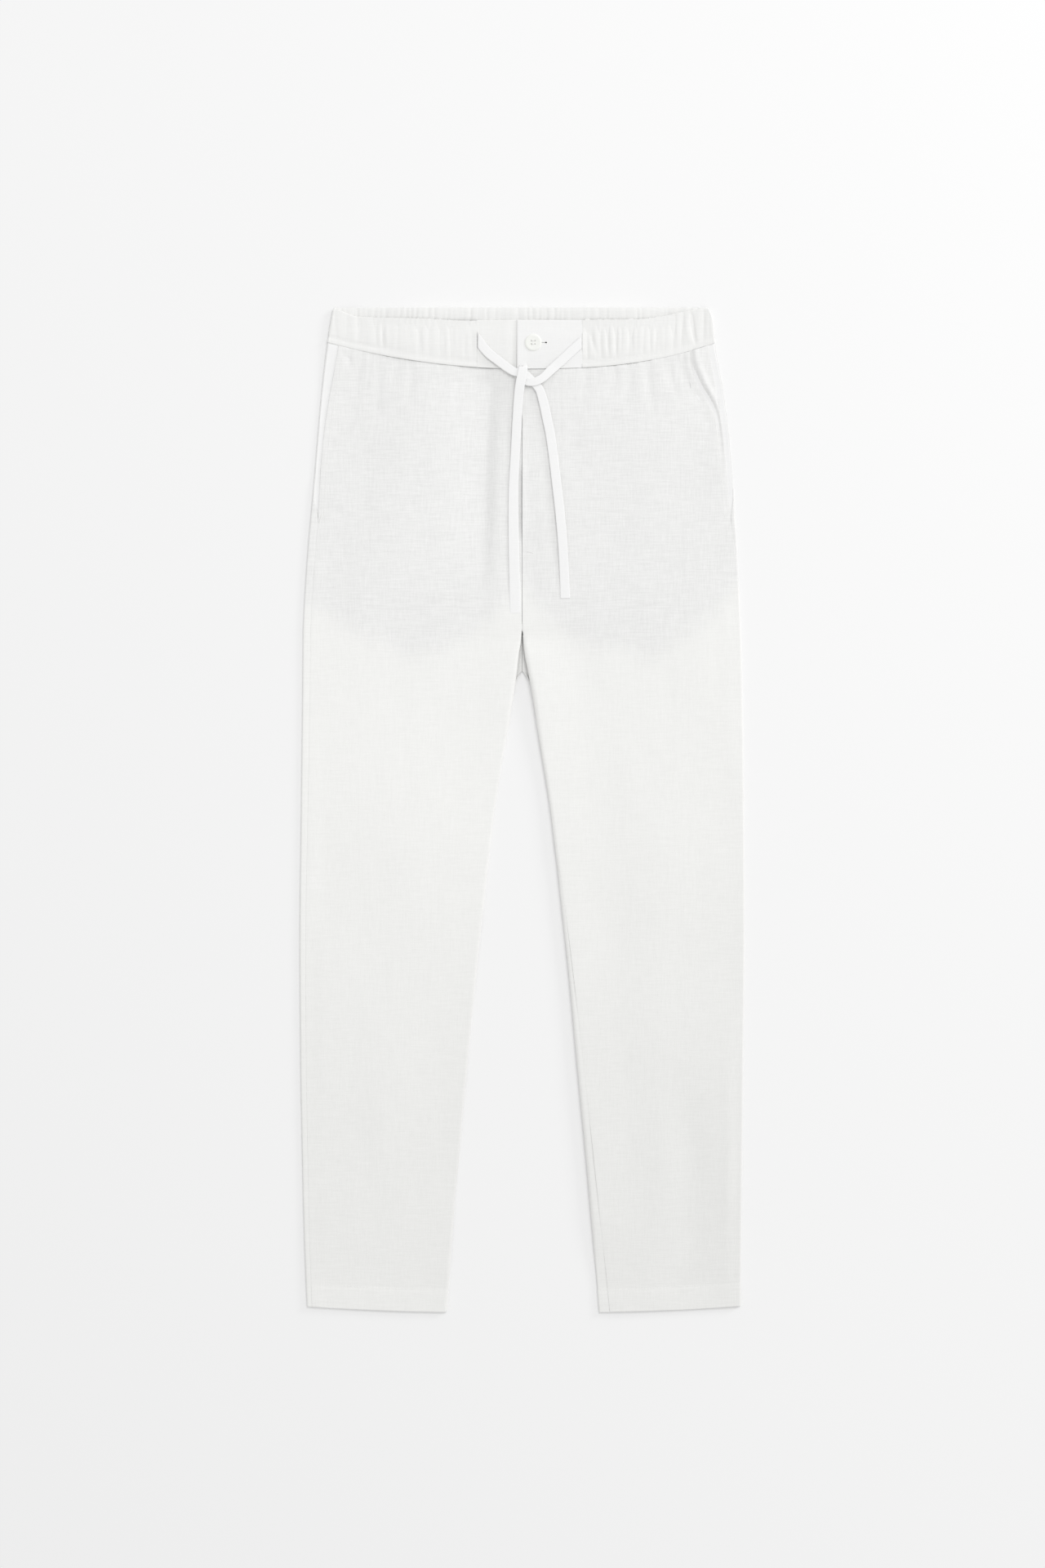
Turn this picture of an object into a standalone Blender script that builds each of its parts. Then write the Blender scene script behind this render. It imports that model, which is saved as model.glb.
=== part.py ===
"""Linen drawstring trousers, laid flat on their back, as separate cut and sewn pieces.

The frame is in metres: +X towards the wearer's left leg, +Y from the hems to the waist, +Z up, out of the
fronts.  The origin lies on the surface that the trousers rest on, under the middle of their outline.
Each level across the trousers is a flattened loop: flat underneath, round at its two side edges, flat on top.
Fronts, backs and pocket facings are stretches of that loop, and every seam keeps a narrow gap.
Left and right in the names are the wearer's.
"""

import math
from typing import NamedTuple

import bmesh
import bpy
from mathutils import Vector

MM = 0.001

# ---------------------------------------------------------------- driving dimensions
SEAM_GAP = 0.3 * MM  # between two pieces that are sewn together
SIDE_GAP = 0.4 * MM  # along the side seams, which cross the rounded edge
CLOTH = 1.5 * MM  # wall of a front or back panel, with its seam allowances
HEM_CLOTH = 2.2 * MM  # wall where the hem is turned up
HEM_DEPTH = 25 * MM
BAND_CLOTH = 3.0 * MM  # gathered casing with its elastic
TAB_CLOTH = 2.0 * MM  # flat, interfaced ends of the waistband
FACING_CLOTH = 1.2 * MM
FLY_CLOTH = 1.0 * MM
BAG_CLOTH = 0.9 * MM  # both layers of a pocket bag

LEG_HEIGHT = 6.4 * MM  # two walls and the air between them
BODY_HEIGHT = 6.8 * MM
BAND_HEIGHT = 9.0 * MM

HALF_WAIST = 198 * MM
SEAM_LOW = 452.5 * MM  # waist seam at the centre front
SEAM_RISE = 27 * MM  # how far it climbs to each side
SEAM_BEND_RIGHT = 2.0
SEAM_BEND_LEFT = 2.7
BACK_SEAM_LOW = 474 * MM
BACK_SEAM_RISE = 5.5 * MM
BACK_TOP = 515.8 * MM

HEM_INNER = -515.5 * MM
HEM_SLANT = 6 * MM  # the hem is this much higher at the side seam
HEM_FROM = 78 * MM
HEM_TO = 224 * MM

CROTCH = 208 * MM  # where the four panels meet
CURL_TOP = 240 * MM  # the centre seams start to dip here

FLY_EDGE_LIFT = 0.5 * MM
FLY_EDGE_WIDTH = 6 * MM
FLY_WIDTH = 39 * MM
FLY_BEND = 330 * MM  # the J stitch turns in below this
FLY_BOTTOM = 266 * MM

TAB_RIGHT = -46.2 * MM
TAB_SPLIT = -5.4 * MM
TAB_LEFT = 61.7 * MM
TAB_UNDER = 32 * MM  # the right tab runs on under the left one
TAB_TOP = 502.8 * MM

BUTTON_AT = (11.3 * MM, 479.3 * MM)
BUTTON_RADIUS = 8.8 * MM
BUTTON_HOLE = 0.9 * MM
BUTTON_HOLE_AT = 1.7 * MM
BUTTONHOLE = (9.0 * MM, 26.4 * MM)
BUTTONHOLE_WIDTH = 1.0 * MM

TAPE_CLOTH = 1.2 * MM


class Section(NamedTuple):
    """One level across the trousers, in millimetres: side and inner edges of both halves."""

    y: float
    right_out: float
    right_in: float
    left_in: float
    left_out: float


SECTIONS = (
    Section(516, 194.0, 0.15, 0.15, 191.5),
    Section(504, 196.2, 0.15, 0.15, 195.8),
    Section(480, 200.0, 0.15, 0.15, 198.0),
    Section(432, 205.7, 0.15, 0.15, 206.3),
    Section(384, 210.0, 0.15, 0.15, 212.6),
    Section(328, 214.5, 0.15, 0.15, 216.8),
    Section(272, 219.6, 0.15, 0.15, 220.2),
    Section(234, 222.3, 0.15, 0.15, 222.2),
    Section(208, 223.8, 0.15, 0.15, 223.4),
    Section(178, 224.9, 2.1, 2.9, 224.6),
    Section(120, 225.3, 7.5, 9.8, 226.0),
    Section(77, 225.8, 15.6, 16.6, 226.7),
    Section(-7, 226.8, 28.9, 29.7, 227.6),
    Section(-132, 228.2, 43.4, 43.8, 228.2),
    Section(-258, 227.4, 55.7, 56.0, 226.8),
    Section(-342, 225.9, 63.3, 64.0, 225.9),
    Section(-426, 224.0, 70.8, 71.6, 225.0),
    Section(-516, 220.5, 77.6, 79.0, 224.2),
)


class Seams(NamedTuple):
    """How far, in millimetres, each seam lies onto the front face from the edge of the flat shape."""

    y: float
    right_front: float
    right_back: float
    left_front: float
    left_back: float
    left_inseam: float


SEAMS = (
    Seams(500, 15.0, 0.0, 9.8, 0.0, 0.0),
    Seams(458, 13.8, 0.0, 9.6, 0.0, 0.0),
    Seams(420, 8.2, 0.0, 9.0, 0.0, 0.0),
    Seams(385, 5.6, 0.0, 8.2, 0.0, 0.0),
    Seams(350, 5.4, 0.0, 7.4, 0.0, 0.0),
    Seams(322, 7.4, 3.0, 7.0, 0.0, 0.0),
    Seams(298, 9.4, 9.4, 6.6, 2.6, 0.0),
    Seams(280, 9.9, 9.9, 4.6, 3.9, 0.0),
    Seams(262, 9.8, 9.8, 2.0, 1.6, 0.0),
    Seams(240, 9.6, 9.6, 0.3, 0.0, 0.0),
    Seams(120, 9.2, 9.2, 0.0, 0.0, 0.0),
    Seams(-20, 8.4, 8.4, 0.0, 0.0, 0.5),
    Seams(-75, 8.0, 8.0, 0.0, 0.0, 4.5),
    Seams(-200, 7.6, 7.6, 0.0, 0.0, 7.5),
    Seams(-516, 7.0, 7.0, 0.0, 0.0, 12.0),
)


class BandEdge(NamedTuple):
    """Top edge of the front of the waistband, in millimetres."""

    x: float
    y: float


BAND_TOP = (
    BandEdge(-194, 513.5),
    BandEdge(-173, 506.5),
    BandEdge(-105, 504.3),
    BandEdge(-54, 502.0),
    BandEdge(62, 502.8),
    BandEdge(120, 503.6),
    BandEdge(147, 507.0),
    BandEdge(170, 511.5),
    BandEdge(192, 515.2),
)


class Fold(NamedTuple):
    """One soft trough in a front, in millimetres, from its upper end to its lower end."""

    x_top: float
    y_top: float
    x_low: float
    y_low: float
    width: float
    depth: float


FOLDS = (
    Fold(-34, 450, -20, 262, 14, 0.8),
    Fold(174, 470, 203, 372, 11, 0.5),
    Fold(-146, 466, -150, 405, 12, 0.5),
    Fold(110, 458, 122, 402, 12, 0.5),
)


class Pocket(NamedTuple):
    """A pocket bag and its facing, in millimetres from the middle of the trousers."""

    mouth_low: float
    facing_under: float
    bag_in: float
    bag_out: float
    bag_top: float
    bag_low: float
    bag_corner: float


POCKET = Pocket(290, 26, 62, 196, 462, 168, 60)


class Route(NamedTuple):
    """A point on the middle line of a drawstring end, in millimetres, with the tape's width there."""

    x: float
    y: float
    z: float
    width: float


ROUTE_LEFT = (
    Route(61.0, 479.5, 9.9, 9.6),
    Route(53.2, 472.6, 9.9, 9.6),
    Route(42.3, 462.6, 9.9, 9.6),
    Route(33.9, 455.0, 10.0, 9.4),
    Route(26.4, 447.5, 10.6, 8.6),
    Route(20.5, 441.6, 10.9, 7.6),
    Route(13.8, 437.4, 10.7, 7.0),
    Route(7.1, 436.6, 10.3, 6.6),
    Route(0.4, 439.1, 9.8, 6.6),
    Route(-2.9, 445.0, 9.8, 6.6),
    Route(-2.9, 451.7, 9.8, 6.8),
    Route(-2.6, 455.0, 10.3, 7.2),
    Route(-2.4, 456.0, 11.35, 7.6),
    Route(-2.2, 455.0, 12.4, 8.0),
    Route(-1.7, 451.0, 12.9, 8.8),
    Route(-1.7, 442.5, 12.9, 9.4),
    Route(-2.9, 432.5, 11.0, 9.6),
    Route(-3.8, 420.7, 9.0, 9.6),
    Route(-5.4, 395.5, 8.6, 9.6),
    Route(-7.1, 364.5, 8.0, 9.6),
    Route(-8.8, 328.5, 7.9, 9.6),
    Route(-10.1, 286.6, 7.9, 9.6),
    Route(-9.6, 244.7, 7.9, 9.6),
    Route(-8.4, 204.5, 8.0, 9.6),
)
ROUTE_RIGHT = (
    Route(-45.6, 482.2, 9.4, 9.6),
    Route(-35.6, 469.7, 9.4, 9.6),
    Route(-24.7, 460.9, 9.6, 9.4),
    Route(-14.7, 453.3, 10.5, 8.6),
    Route(-8.0, 448.7, 11.3, 7.6),
    Route(0.4, 446.2, 11.3, 6.8),
    Route(8.0, 445.2, 10.4, 6.4),
    Route(13.8, 442.1, 8.6, 6.6),
    Route(18.0, 436.6, 8.6, 7.4),
    Route(20.5, 429.1, 8.5, 8.8),
    Route(23.0, 416.5, 7.9, 9.6),
    Route(25.6, 402.2, 7.9, 9.6),
    Route(28.9, 385.5, 7.9, 9.6),
    Route(31.8, 365.4, 7.9, 9.6),
    Route(35.2, 336.9, 7.9, 9.6),
    Route(39.0, 303.4, 7.9, 9.6),
    Route(41.5, 274.0, 7.9, 9.6),
    Route(43.2, 244.7, 7.9, 9.6),
    Route(44.0, 220.4, 7.9, 9.6),
)

LINEN = (0.86, 0.86, 0.84)
TAPE = (0.92, 0.92, 0.91)
BUTTON = (0.85, 0.87, 0.80)
LAWN = (0.84, 0.84, 0.82)


# ---------------------------------------------------------------- numbers
def ease(low: float, high: float, value: float) -> float:
    """0 at low, 1 at high, with a soft start and end."""
    t = min(max((value - low) / (high - low), 0.0), 1.0)
    return t * t * (3 - 2 * t)


def through(rows: tuple, key: str, column: str, value: float) -> float:
    """A smooth line through one column of a table, which never overshoots a row, at a value of its key."""
    rows = sorted(rows, key=lambda row: getattr(row, key))
    keys = [getattr(row, key) * MM for row in rows]
    found = [getattr(row, column) * MM for row in rows]
    steep = [(d - c) / (b - a) for a, b, c, d in zip(keys, keys[1:], found, found[1:])]
    steep = [steep[0], *steep, steep[-1]]
    i = min(max(sum(k <= value for k in keys) - 1, 0), len(rows) - 2)
    slopes = [2 * a * b / (a + b) if a * b > 0 else 0.0 for a, b in zip(steep[i:], steep[i + 1 : i + 3])]
    span = keys[i + 1] - keys[i]
    t = min(max((value - keys[i]) / span, 0.0), 1.0)
    return (
        (2 * t**3 - 3 * t**2 + 1) * found[i]
        + (t**3 - 2 * t**2 + t) * span * slopes[0]
        + (3 * t**2 - 2 * t**3) * found[i + 1]
        + (t**3 - t**2) * span * slopes[1]
    )


def spaced(stops: tuple) -> list[float]:
    """Levels from (start, steps to the next start) pairs; the last pair's steps are not read."""
    levels = []
    for (low, steps), (high, _) in zip(stops, stops[1:]):
        levels += [low + (high - low) * k / steps for k in range(steps)]
    return levels + [stops[-1][0]]


# ---------------------------------------------------------------- the flattened form
def waist_seam(x: float, on_back: bool) -> float:
    """Height up the body of the seam under the waistband."""
    reach = abs(x) / HALF_WAIST
    if on_back:
        return BACK_SEAM_LOW + BACK_SEAM_RISE * reach**4
    bend = SEAM_BEND_RIGHT if x < 0 else SEAM_BEND_LEFT
    return SEAM_LOW + SEAM_RISE * reach**bend


def hem(x: float) -> float:
    """Lower edge of a leg."""
    reach = (abs(x) - HEM_FROM) / (HEM_TO - HEM_FROM)
    return HEM_INNER + HEM_SLANT * max(reach, 0.0) ** 1.6


def trough(x: float, y: float) -> float:
    """How far the soft folds lower the front at a place."""
    depth = 0.0
    for fold in FOLDS:
        top = Vector((fold.x_top, fold.y_top)) * MM
        low = Vector((fold.x_low, fold.y_low)) * MM
        along = low - top
        t = (Vector((x, y)) - top).dot(along) / along.length_squared
        if not 0 < t < 1:
            continue
        aside = (Vector((x, y)) - top - along * t).length / (fold.width * MM)
        depth += fold.depth * MM * math.exp(-2 * aside**2) * math.sin(math.pi * t) ** 0.5
    return depth


class Loop:
    """The flattened loop of one half of the trousers at one level, measured along its outside.

    Distance 0 is the middle of the inner edge; the loop runs over the top to the side edge, then back
    underneath.  Above the crotch the inner edge isn't curled: it runs flat to the centre seams.
    """

    def __init__(self, side: int, y: float, height: float | None = None):
        name = "left" if side > 0 else "right"
        self.side = side
        self.y = y
        self.inner = through(SECTIONS, "y", f"{name}_in", y)
        self.outer = through(SECTIONS, "y", f"{name}_out", y)
        body = ease(CROTCH - 120 * MM, CROTCH, y)
        self.height = height or LEG_HEIGHT + (BODY_HEIGHT - LEG_HEIGHT) * body
        self.half = self.height / 2
        self.curl = 1 - ease(CROTCH, CURL_TOP, y)
        self.arc = math.pi / 2 * self.half
        self.face = 2 * self.arc + self.outer - self.inner - 2 * self.half

    def at(self, along: float, inset: float = 0.0) -> Vector:
        """The point at a distance along the loop, moved in from its surface by inset."""
        under = along > self.face
        s = 2 * self.face - along if under else along
        lean, rise = 0.0, 1.0
        drop = 0.0
        if s < self.arc:
            turn = max(s, 0.0) / self.half
            x = self.inner + self.half * (1 - math.cos(turn))
            drop = self.curl * self.half * (1 - math.sin(turn))
            if self.curl > 0:
                lean, rise = Vector((self.curl * math.cos(turn), math.sin(turn))).normalized()
        elif s > self.face - self.arc:
            turn = (self.face - s) / self.half
            x = self.outer - self.half * (1 - math.cos(turn))
            drop = self.half * (1 - math.sin(turn))
            lean, rise = -math.cos(turn), math.sin(turn)
        else:
            x = self.inner + self.half + s - self.arc
        x += inset * lean
        z = drop + inset * rise
        if not under:
            flat = ease(0, 12 * MM, self.outer - x)
            z = self.height - z - trough(self.side * x, self.y) * flat
        return Vector((self.side * x, self.y, z))


# ---------------------------------------------------------------- making objects
def material(name: str, colour: tuple, roughness: float) -> bpy.types.Material:
    """A plain surface of one colour."""
    made = bpy.data.materials.new(name)
    made.use_nodes = True
    shader = made.node_tree.nodes["Principled BSDF"]
    shader.inputs["Base Color"].default_value = (*colour, 1)
    shader.inputs["Roughness"].default_value = roughness
    shader.inputs["Metallic"].default_value = 0.0
    return made


def add_object(name: str, bm: bmesh.types.BMesh, colour: tuple, roughness: float = 0.9) -> bpy.types.Object:
    """Turns a bmesh into a named object with a material of its own."""
    mesh = bpy.data.meshes.new(name)
    bm.to_mesh(mesh)
    bm.free()
    made = bpy.data.objects.new(name, mesh)
    bpy.context.scene.collection.objects.link(made)
    mesh.materials.append(material(name, colour, roughness))
    return made


def wall(columns: int, rows: int, place) -> bmesh.types.BMesh:
    """A cloth wall: a grid, extruded once, whose points are placed by column, row and depth (0 or 1)."""
    bm = bmesh.new()
    bmesh.ops.create_grid(bm, x_segments=columns, y_segments=rows, size=0.5)
    made = bmesh.ops.extrude_face_region(bm, geom=list(bm.faces), use_keep_orig=True)["geom"]
    inner = {item for item in made if isinstance(item, bmesh.types.BMVert)}
    for vert in bm.verts:
        column = round((vert.co.x + 0.5) * columns)
        row = round((vert.co.y + 0.5) * rows)
        vert.co = place(column, row, 1.0 if vert in inner else 0.0)
    bmesh.ops.recalc_face_normals(bm, faces=bm.faces)
    return bm


# ---------------------------------------------------------------- fronts and backs
PANEL_LEVELS = (
    (HEM_INNER, 1),
    (HEM_INNER + HEM_DEPTH, 8),
    (CROTCH - 44 * MM, 2),
    (CROTCH - 4 * MM, 3),
    (CURL_TOP, 2),
    (280 * MM, 4),
    (340 * MM, 4),
    (480 * MM, 0),
)
HEM_ROWS = 2  # rows of points across the turned-up hem
FRONT_COLUMNS = (3, 9, 3)
BACK_COLUMNS = (1, 2, 2, 5, 3)


def panel_loop(side: int, level: float, on_back: bool, along) -> Loop:
    """The loop that a panel's point lies on, its level eased to the hem and to the waist seam at the ends."""
    loop = Loop(side, level)
    top = ease(300 * MM, 480 * MM, level)
    low = ease(-400 * MM, HEM_INNER, level)
    for _ in range(3):
        x = loop.at(along(loop)).x
        to_waist = waist_seam(x, on_back) - SEAM_GAP - 480 * MM
        loop = Loop(side, level + top * to_waist + low * (hem(x) - HEM_INNER))
    return loop


def inseam_at(loop: Loop) -> float:
    """How far the inseam lies onto the front from the inner edge."""
    if loop.side < 0:
        return 0.0
    return through(SEAMS, "y", "left_inseam", loop.y)


def side_seam(loop: Loop, on_back: bool) -> float:
    """How far a panel's side edge lies onto the front face; the back never reaches past the front."""
    word = "left" if loop.side > 0 else "right"
    front = through(SEAMS, "y", f"{word}_front", loop.y)
    return min(front, through(SEAMS, "y", f"{word}_back", loop.y)) if on_back else front


def front_stretch(loop: Loop) -> tuple[float, float]:
    """Where the front starts and ends along the loop."""
    return inseam_at(loop) + SEAM_GAP / 2, loop.face - side_seam(loop, False) - SIDE_GAP / 2


def back_stretch(loop: Loop) -> tuple[float, float]:
    """Where the back starts, at the side seam, and ends, under the inner edge."""
    start = loop.face - side_seam(loop, True) + SIDE_GAP / 2
    return start, 2 * loop.face + inseam_at(loop) - SEAM_GAP / 2


def front_stops(loop: Loop) -> list[float]:
    """The columns of a front: close together round its edges, wide across its middle."""
    start, end = front_stretch(loop)
    inner = max(loop.arc, start + 2 * MM)
    outer = min(loop.face - loop.arc, end - 2 * MM)
    steps = FRONT_COLUMNS
    return spaced(((start, steps[0]), (inner, steps[1]), (outer, steps[2]), (end, 0)))


def back_stops(loop: Loop) -> list[float]:
    """The columns of a back, from the side seam round the side edge and underneath."""
    start, end = back_stretch(loop)
    wrap = max(loop.face - loop.arc, start + 0.4 * MM)
    turn = max(loop.face, wrap + 1 * MM)
    under = loop.face + loop.arc
    inner = 2 * loop.face - loop.arc
    steps = BACK_COLUMNS
    stops = ((start, steps[0]), (wrap, steps[1]), (turn, steps[2]), (under, steps[3]), (inner, steps[4]))
    return spaced((*stops, (end, 0)))


def fly_lift(side: int, point: Vector) -> float:
    """The left front's folded edge stands a little proud beside the fly."""
    if side < 0 or point.y < FLY_BOTTOM:
        return 0.0
    near = 1 - ease(0, FLY_EDGE_WIDTH, point.x)
    return FLY_EDGE_LIFT * near * ease(FLY_BOTTOM, FLY_BOTTOM + 40 * MM, point.y)


def panel(name: str, side: int, on_back: bool) -> bpy.types.Object:
    """One front or one back: a wall that is thicker at its turned-up hem."""
    levels = spaced(PANEL_LEVELS)
    stops = back_stops if on_back else front_stops
    columns = sum(BACK_COLUMNS if on_back else FRONT_COLUMNS)

    def place(column: int, row: int, depth: float) -> Vector:
        loop = panel_loop(side, levels[row], on_back, lambda loop: stops(loop)[column])
        cloth = HEM_CLOTH if row < HEM_ROWS else CLOTH
        point = loop.at(stops(loop)[column], depth * cloth)
        if not on_back:
            point.z += fly_lift(side, point)
        return point

    return add_object(name, wall(columns, len(levels) - 1, place), LINEN)


# ---------------------------------------------------------------- pockets
def facing(name: str, side: int) -> bpy.types.Object:
    """The pocket facing: it shows beside the slanted mouth and runs on under the front and the back."""
    inset = CLOTH + 2 * SEAM_GAP
    levels = spaced(((POCKET.mouth_low * MM, 8), (470 * MM, 0)))

    def place(column: int, row: int, depth: float) -> Vector:
        level = levels[row]
        loop = Loop(side, level)
        end = loop.face - 0.6 * loop.arc
        start = front_stretch(loop)[1] - POCKET.facing_under * MM
        steps = spaced(((start, 3), (loop.face - loop.arc, 2), (end, 0)))
        x = loop.at(steps[column]).x
        rise = ease(POCKET.mouth_low * MM, 470 * MM, level)
        loop = Loop(side, level + rise * (waist_seam(x, False) - 1.5 * MM - 470 * MM))
        return loop.at(steps[column], inset + depth * FACING_CLOTH)

    return add_object(name, wall(5, len(levels) - 1, place), LINEN)


def pocket_bag(name: str, side: int) -> bpy.types.Object:
    """The bag between front and back: a flat sack with round lower corners."""
    low, top, corner = (POCKET.bag_low * MM, POCKET.bag_top * MM, POCKET.bag_corner * MM)
    middle = (POCKET.bag_in + POCKET.bag_out) / 2 * MM
    half = (POCKET.bag_out - POCKET.bag_in) / 2 * MM
    levels = spaced(((0.0, 5), (corner, 4), (top - low, 0)))

    def place(column: int, row: int, depth: float) -> Vector:
        up = levels[row]
        cut = corner * (1 - math.sqrt(1 - (1 - min(up / corner, 1.0)) ** 2)) if up < corner else 0.0
        narrow = ease(350 * MM, top, low + up) * 14 * MM
        out = half - cut - narrow
        x = middle + (column / 4 * 2 - 1) * out - narrow * 0.3
        return Vector((side * x, low + up, CLOTH + SEAM_GAP + depth * BAG_CLOTH))

    return add_object(name, wall(4, len(levels) - 1, place), LAWN)


# ---------------------------------------------------------------- fly
def fly_reach(y: float) -> float:
    """How far the fly's J runs out from the centre at a level."""
    if y > FLY_BEND:
        return FLY_WIDTH
    t = (FLY_BEND - y) / (FLY_BEND - FLY_BOTTOM)
    return max(FLY_WIDTH * math.sqrt(max(1 - t * t, 0.0)), 4 * MM)


def fly_piece(name: str, start: float, shrink: float, top_z: float) -> bpy.types.Object:
    """A J-shaped layer under the left front, beside the centre."""
    levels = spaced(((FLY_BOTTOM, 5), (FLY_BEND, 4), (SEAM_LOW - 1.5 * MM, 0)))

    def place(column: int, row: int, depth: float) -> Vector:
        y = levels[row]
        reach = fly_reach(y) - shrink
        x = start + (max(reach, 3 * MM) - start) * column / 3
        return Vector((x, y, top_z - depth * FLY_CLOTH))

    return add_object(name, wall(3, len(levels) - 1, place), LINEN)


# ---------------------------------------------------------------- waistband
FRONT_GATHERS = 18
SIDE_STEPS = 6
BACK_GATHERS = 20
GATHER = 0.7 * MM
WELT = 6.5 * MM  # flat strip between the seam and its edge stitching
BAND_ROWS = 4


def band_columns() -> list[tuple[int, float]]:
    """The band's columns as (side, t): t runs 0 to 1 over the front, to 2 round the side, to 3 on the back."""
    half = spaced(((0.0, FRONT_GATHERS), (1.0, SIDE_STEPS), (2.0, BACK_GATHERS), (3.0, 0)))
    return [(1, t) for t in half] + [(-1, t) for t in reversed(half[:-1])]


def band_point(side: int, t: float, y: float) -> tuple[Vector, Vector]:
    """A point on the outside of the waistband and the direction out of it."""
    loop = Loop(side, y, BAND_HEIGHT)
    straight = loop.outer - loop.half
    start = TAB_LEFT + SEAM_GAP if side > 0 else -TAB_RIGHT + SEAM_GAP
    if t <= 1:
        return Vector((side * (start + (straight - start) * t), y, loop.height)), Vector((0, 0, 1))
    if t >= 2:
        return Vector((side * straight * (3 - t), y, 0)), Vector((0, 0, -1))
    turn = math.pi * (t - 1)
    out = Vector((side * math.sin(turn), 0, math.cos(turn)))
    return Vector((side * straight, y, loop.half)) + out * loop.half, out


def band() -> bpy.types.Object:
    """The gathered casing: one wall from the left tab round the back to the right tab."""
    columns = band_columns()

    def place(column: int, row: int, depth: float) -> Vector:
        side, t = columns[column]
        back = ease(1.3, 1.7, t)
        low = 480 * MM
        for _ in range(4):
            x = band_point(side, t, low)[0].x
            low = waist_seam(x, False) * (1 - back) + waist_seam(x, True) * back
        top = through(BAND_TOP, "x", "y", x) * (1 - back) + BACK_TOP * back
        rise = (0.0, WELT, 0.45 * (top - low), 0.75 * (top - low), top - low)[row]
        point, out = band_point(side, t, low + rise)
        flat = 1.0 if t <= 1 or t >= 2 else 0.0
        wave = (0.55 + 0.45 * math.sin(1.9 * column)) * (column % 2) * flat
        strength = (0.0, 0.0, 1.0, 1.0, 0.8)[row]
        return point - out * (GATHER * wave * strength * (1 - depth) + BAND_CLOTH * depth)

    return add_object("waistband_elastic", wall(len(columns) - 1, BAND_ROWS, place), LINEN)


def tab(name: str, start: float, end: float, height_at) -> bpy.types.Object:
    """A flat end of the waistband."""
    columns = 10

    def place(column: int, row: int, depth: float) -> Vector:
        x = start + (end - start) * column / columns
        low = waist_seam(x, False)
        return Vector((x, low + (TAB_TOP - low) * row, height_at(x) - depth * TAB_CLOTH))

    return add_object(name, wall(columns, 1, place), LINEN)


def guide(name: str, bm: bmesh.types.BMesh) -> bpy.types.Object:
    """A cutter, which isn't a piece of the trousers."""
    made = add_object(name, bm, LINEN)
    made.hide_render = True
    made.display_type = "WIRE"
    return made


def cut(made: bpy.types.Object, cutter: bpy.types.Object) -> None:
    """Takes the cutter's shape out of a piece."""
    hole = made.modifiers.new("cut", "BOOLEAN")
    hole.operation = "DIFFERENCE"
    hole.solver = "EXACT"
    hole.object = cutter


LEFT_TAB_Z = BAND_HEIGHT - 0.1 * MM
RIGHT_TAB_Z = BAND_HEIGHT - 0.6 * MM
UNDER_TAB_Z = LEFT_TAB_Z - TAB_CLOTH - SEAM_GAP


def right_tab_height(x: float) -> float:
    """The right tab is level, then dips to run under the left one."""
    return RIGHT_TAB_Z + (UNDER_TAB_Z - RIGHT_TAB_Z) * ease(-17 * MM, -7.5 * MM, x)


def tabs() -> None:
    """Both tabs, with the buttonhole in the left one."""
    left = tab("waistband_tab_left", TAB_SPLIT, TAB_LEFT, lambda x: LEFT_TAB_Z)
    tab("waistband_tab_right", TAB_RIGHT, TAB_UNDER, right_tab_height)
    slit = bmesh.new()
    bmesh.ops.create_cube(slit, size=1.0)
    size = Vector((BUTTONHOLE[1] - BUTTONHOLE[0], BUTTONHOLE_WIDTH, 3 * TAB_CLOTH))
    bmesh.ops.scale(slit, vec=size, verts=slit.verts)
    middle = Vector((sum(BUTTONHOLE) / 2, BUTTON_AT[1], LEFT_TAB_Z))
    bmesh.ops.translate(slit, vec=middle, verts=slit.verts)
    cut(left, guide("buttonhole_cutter", slit))


# ---------------------------------------------------------------- button
class Turned(NamedTuple):
    """A corner of the button's turned outline, in millimetres."""

    radius: float
    z: float


BUTTON_OUTLINE = (
    Turned(0.0, 0.0),
    Turned(7.6, 0.0),
    Turned(8.8, 0.8),
    Turned(8.8, 1.7),
    Turned(8.0, 2.6),
    Turned(6.8, 2.6),
    Turned(5.6, 1.9),
    Turned(0.0, 1.8),
)


def button() -> None:
    """A dished button with four thread holes, on the left tab."""
    bm = bmesh.new()
    scale = BUTTON_RADIUS / max(corner.radius for corner in BUTTON_OUTLINE)
    corners = [bm.verts.new((corner.radius * scale, 0, corner.z * MM)) for corner in BUTTON_OUTLINE]
    edges = [bm.edges.new(pair) for pair in zip(corners, corners[1:])]
    spin = {"axis": (0, 0, 1), "cent": (0, 0, 0), "angle": 2 * math.pi, "steps": 24, "use_merge": True}
    bmesh.ops.spin(bm, geom=corners + edges, **spin)
    bmesh.ops.remove_doubles(bm, verts=bm.verts, dist=0.01 * MM)
    bmesh.ops.recalc_face_normals(bm, faces=bm.faces)
    made = add_object("button", bm, BUTTON, 0.35)
    seat = Vector((*BUTTON_AT, LEFT_TAB_Z + SEAM_GAP))
    made.location = seat
    holes = bmesh.new()
    for quarter in range(4):
        turn = math.pi / 4 + quarter * math.pi / 2
        at = Vector((math.cos(turn), math.sin(turn), 0)) * BUTTON_HOLE_AT * math.sqrt(2)
        drill = bmesh.ops.create_cone(
            holes, cap_ends=True, segments=10, radius1=BUTTON_HOLE, radius2=BUTTON_HOLE, depth=8 * MM
        )
        bmesh.ops.translate(holes, vec=at, verts=drill["verts"])
    drills = guide("button_drill", holes)
    drills.location = seat
    cut(made, drills)


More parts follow.
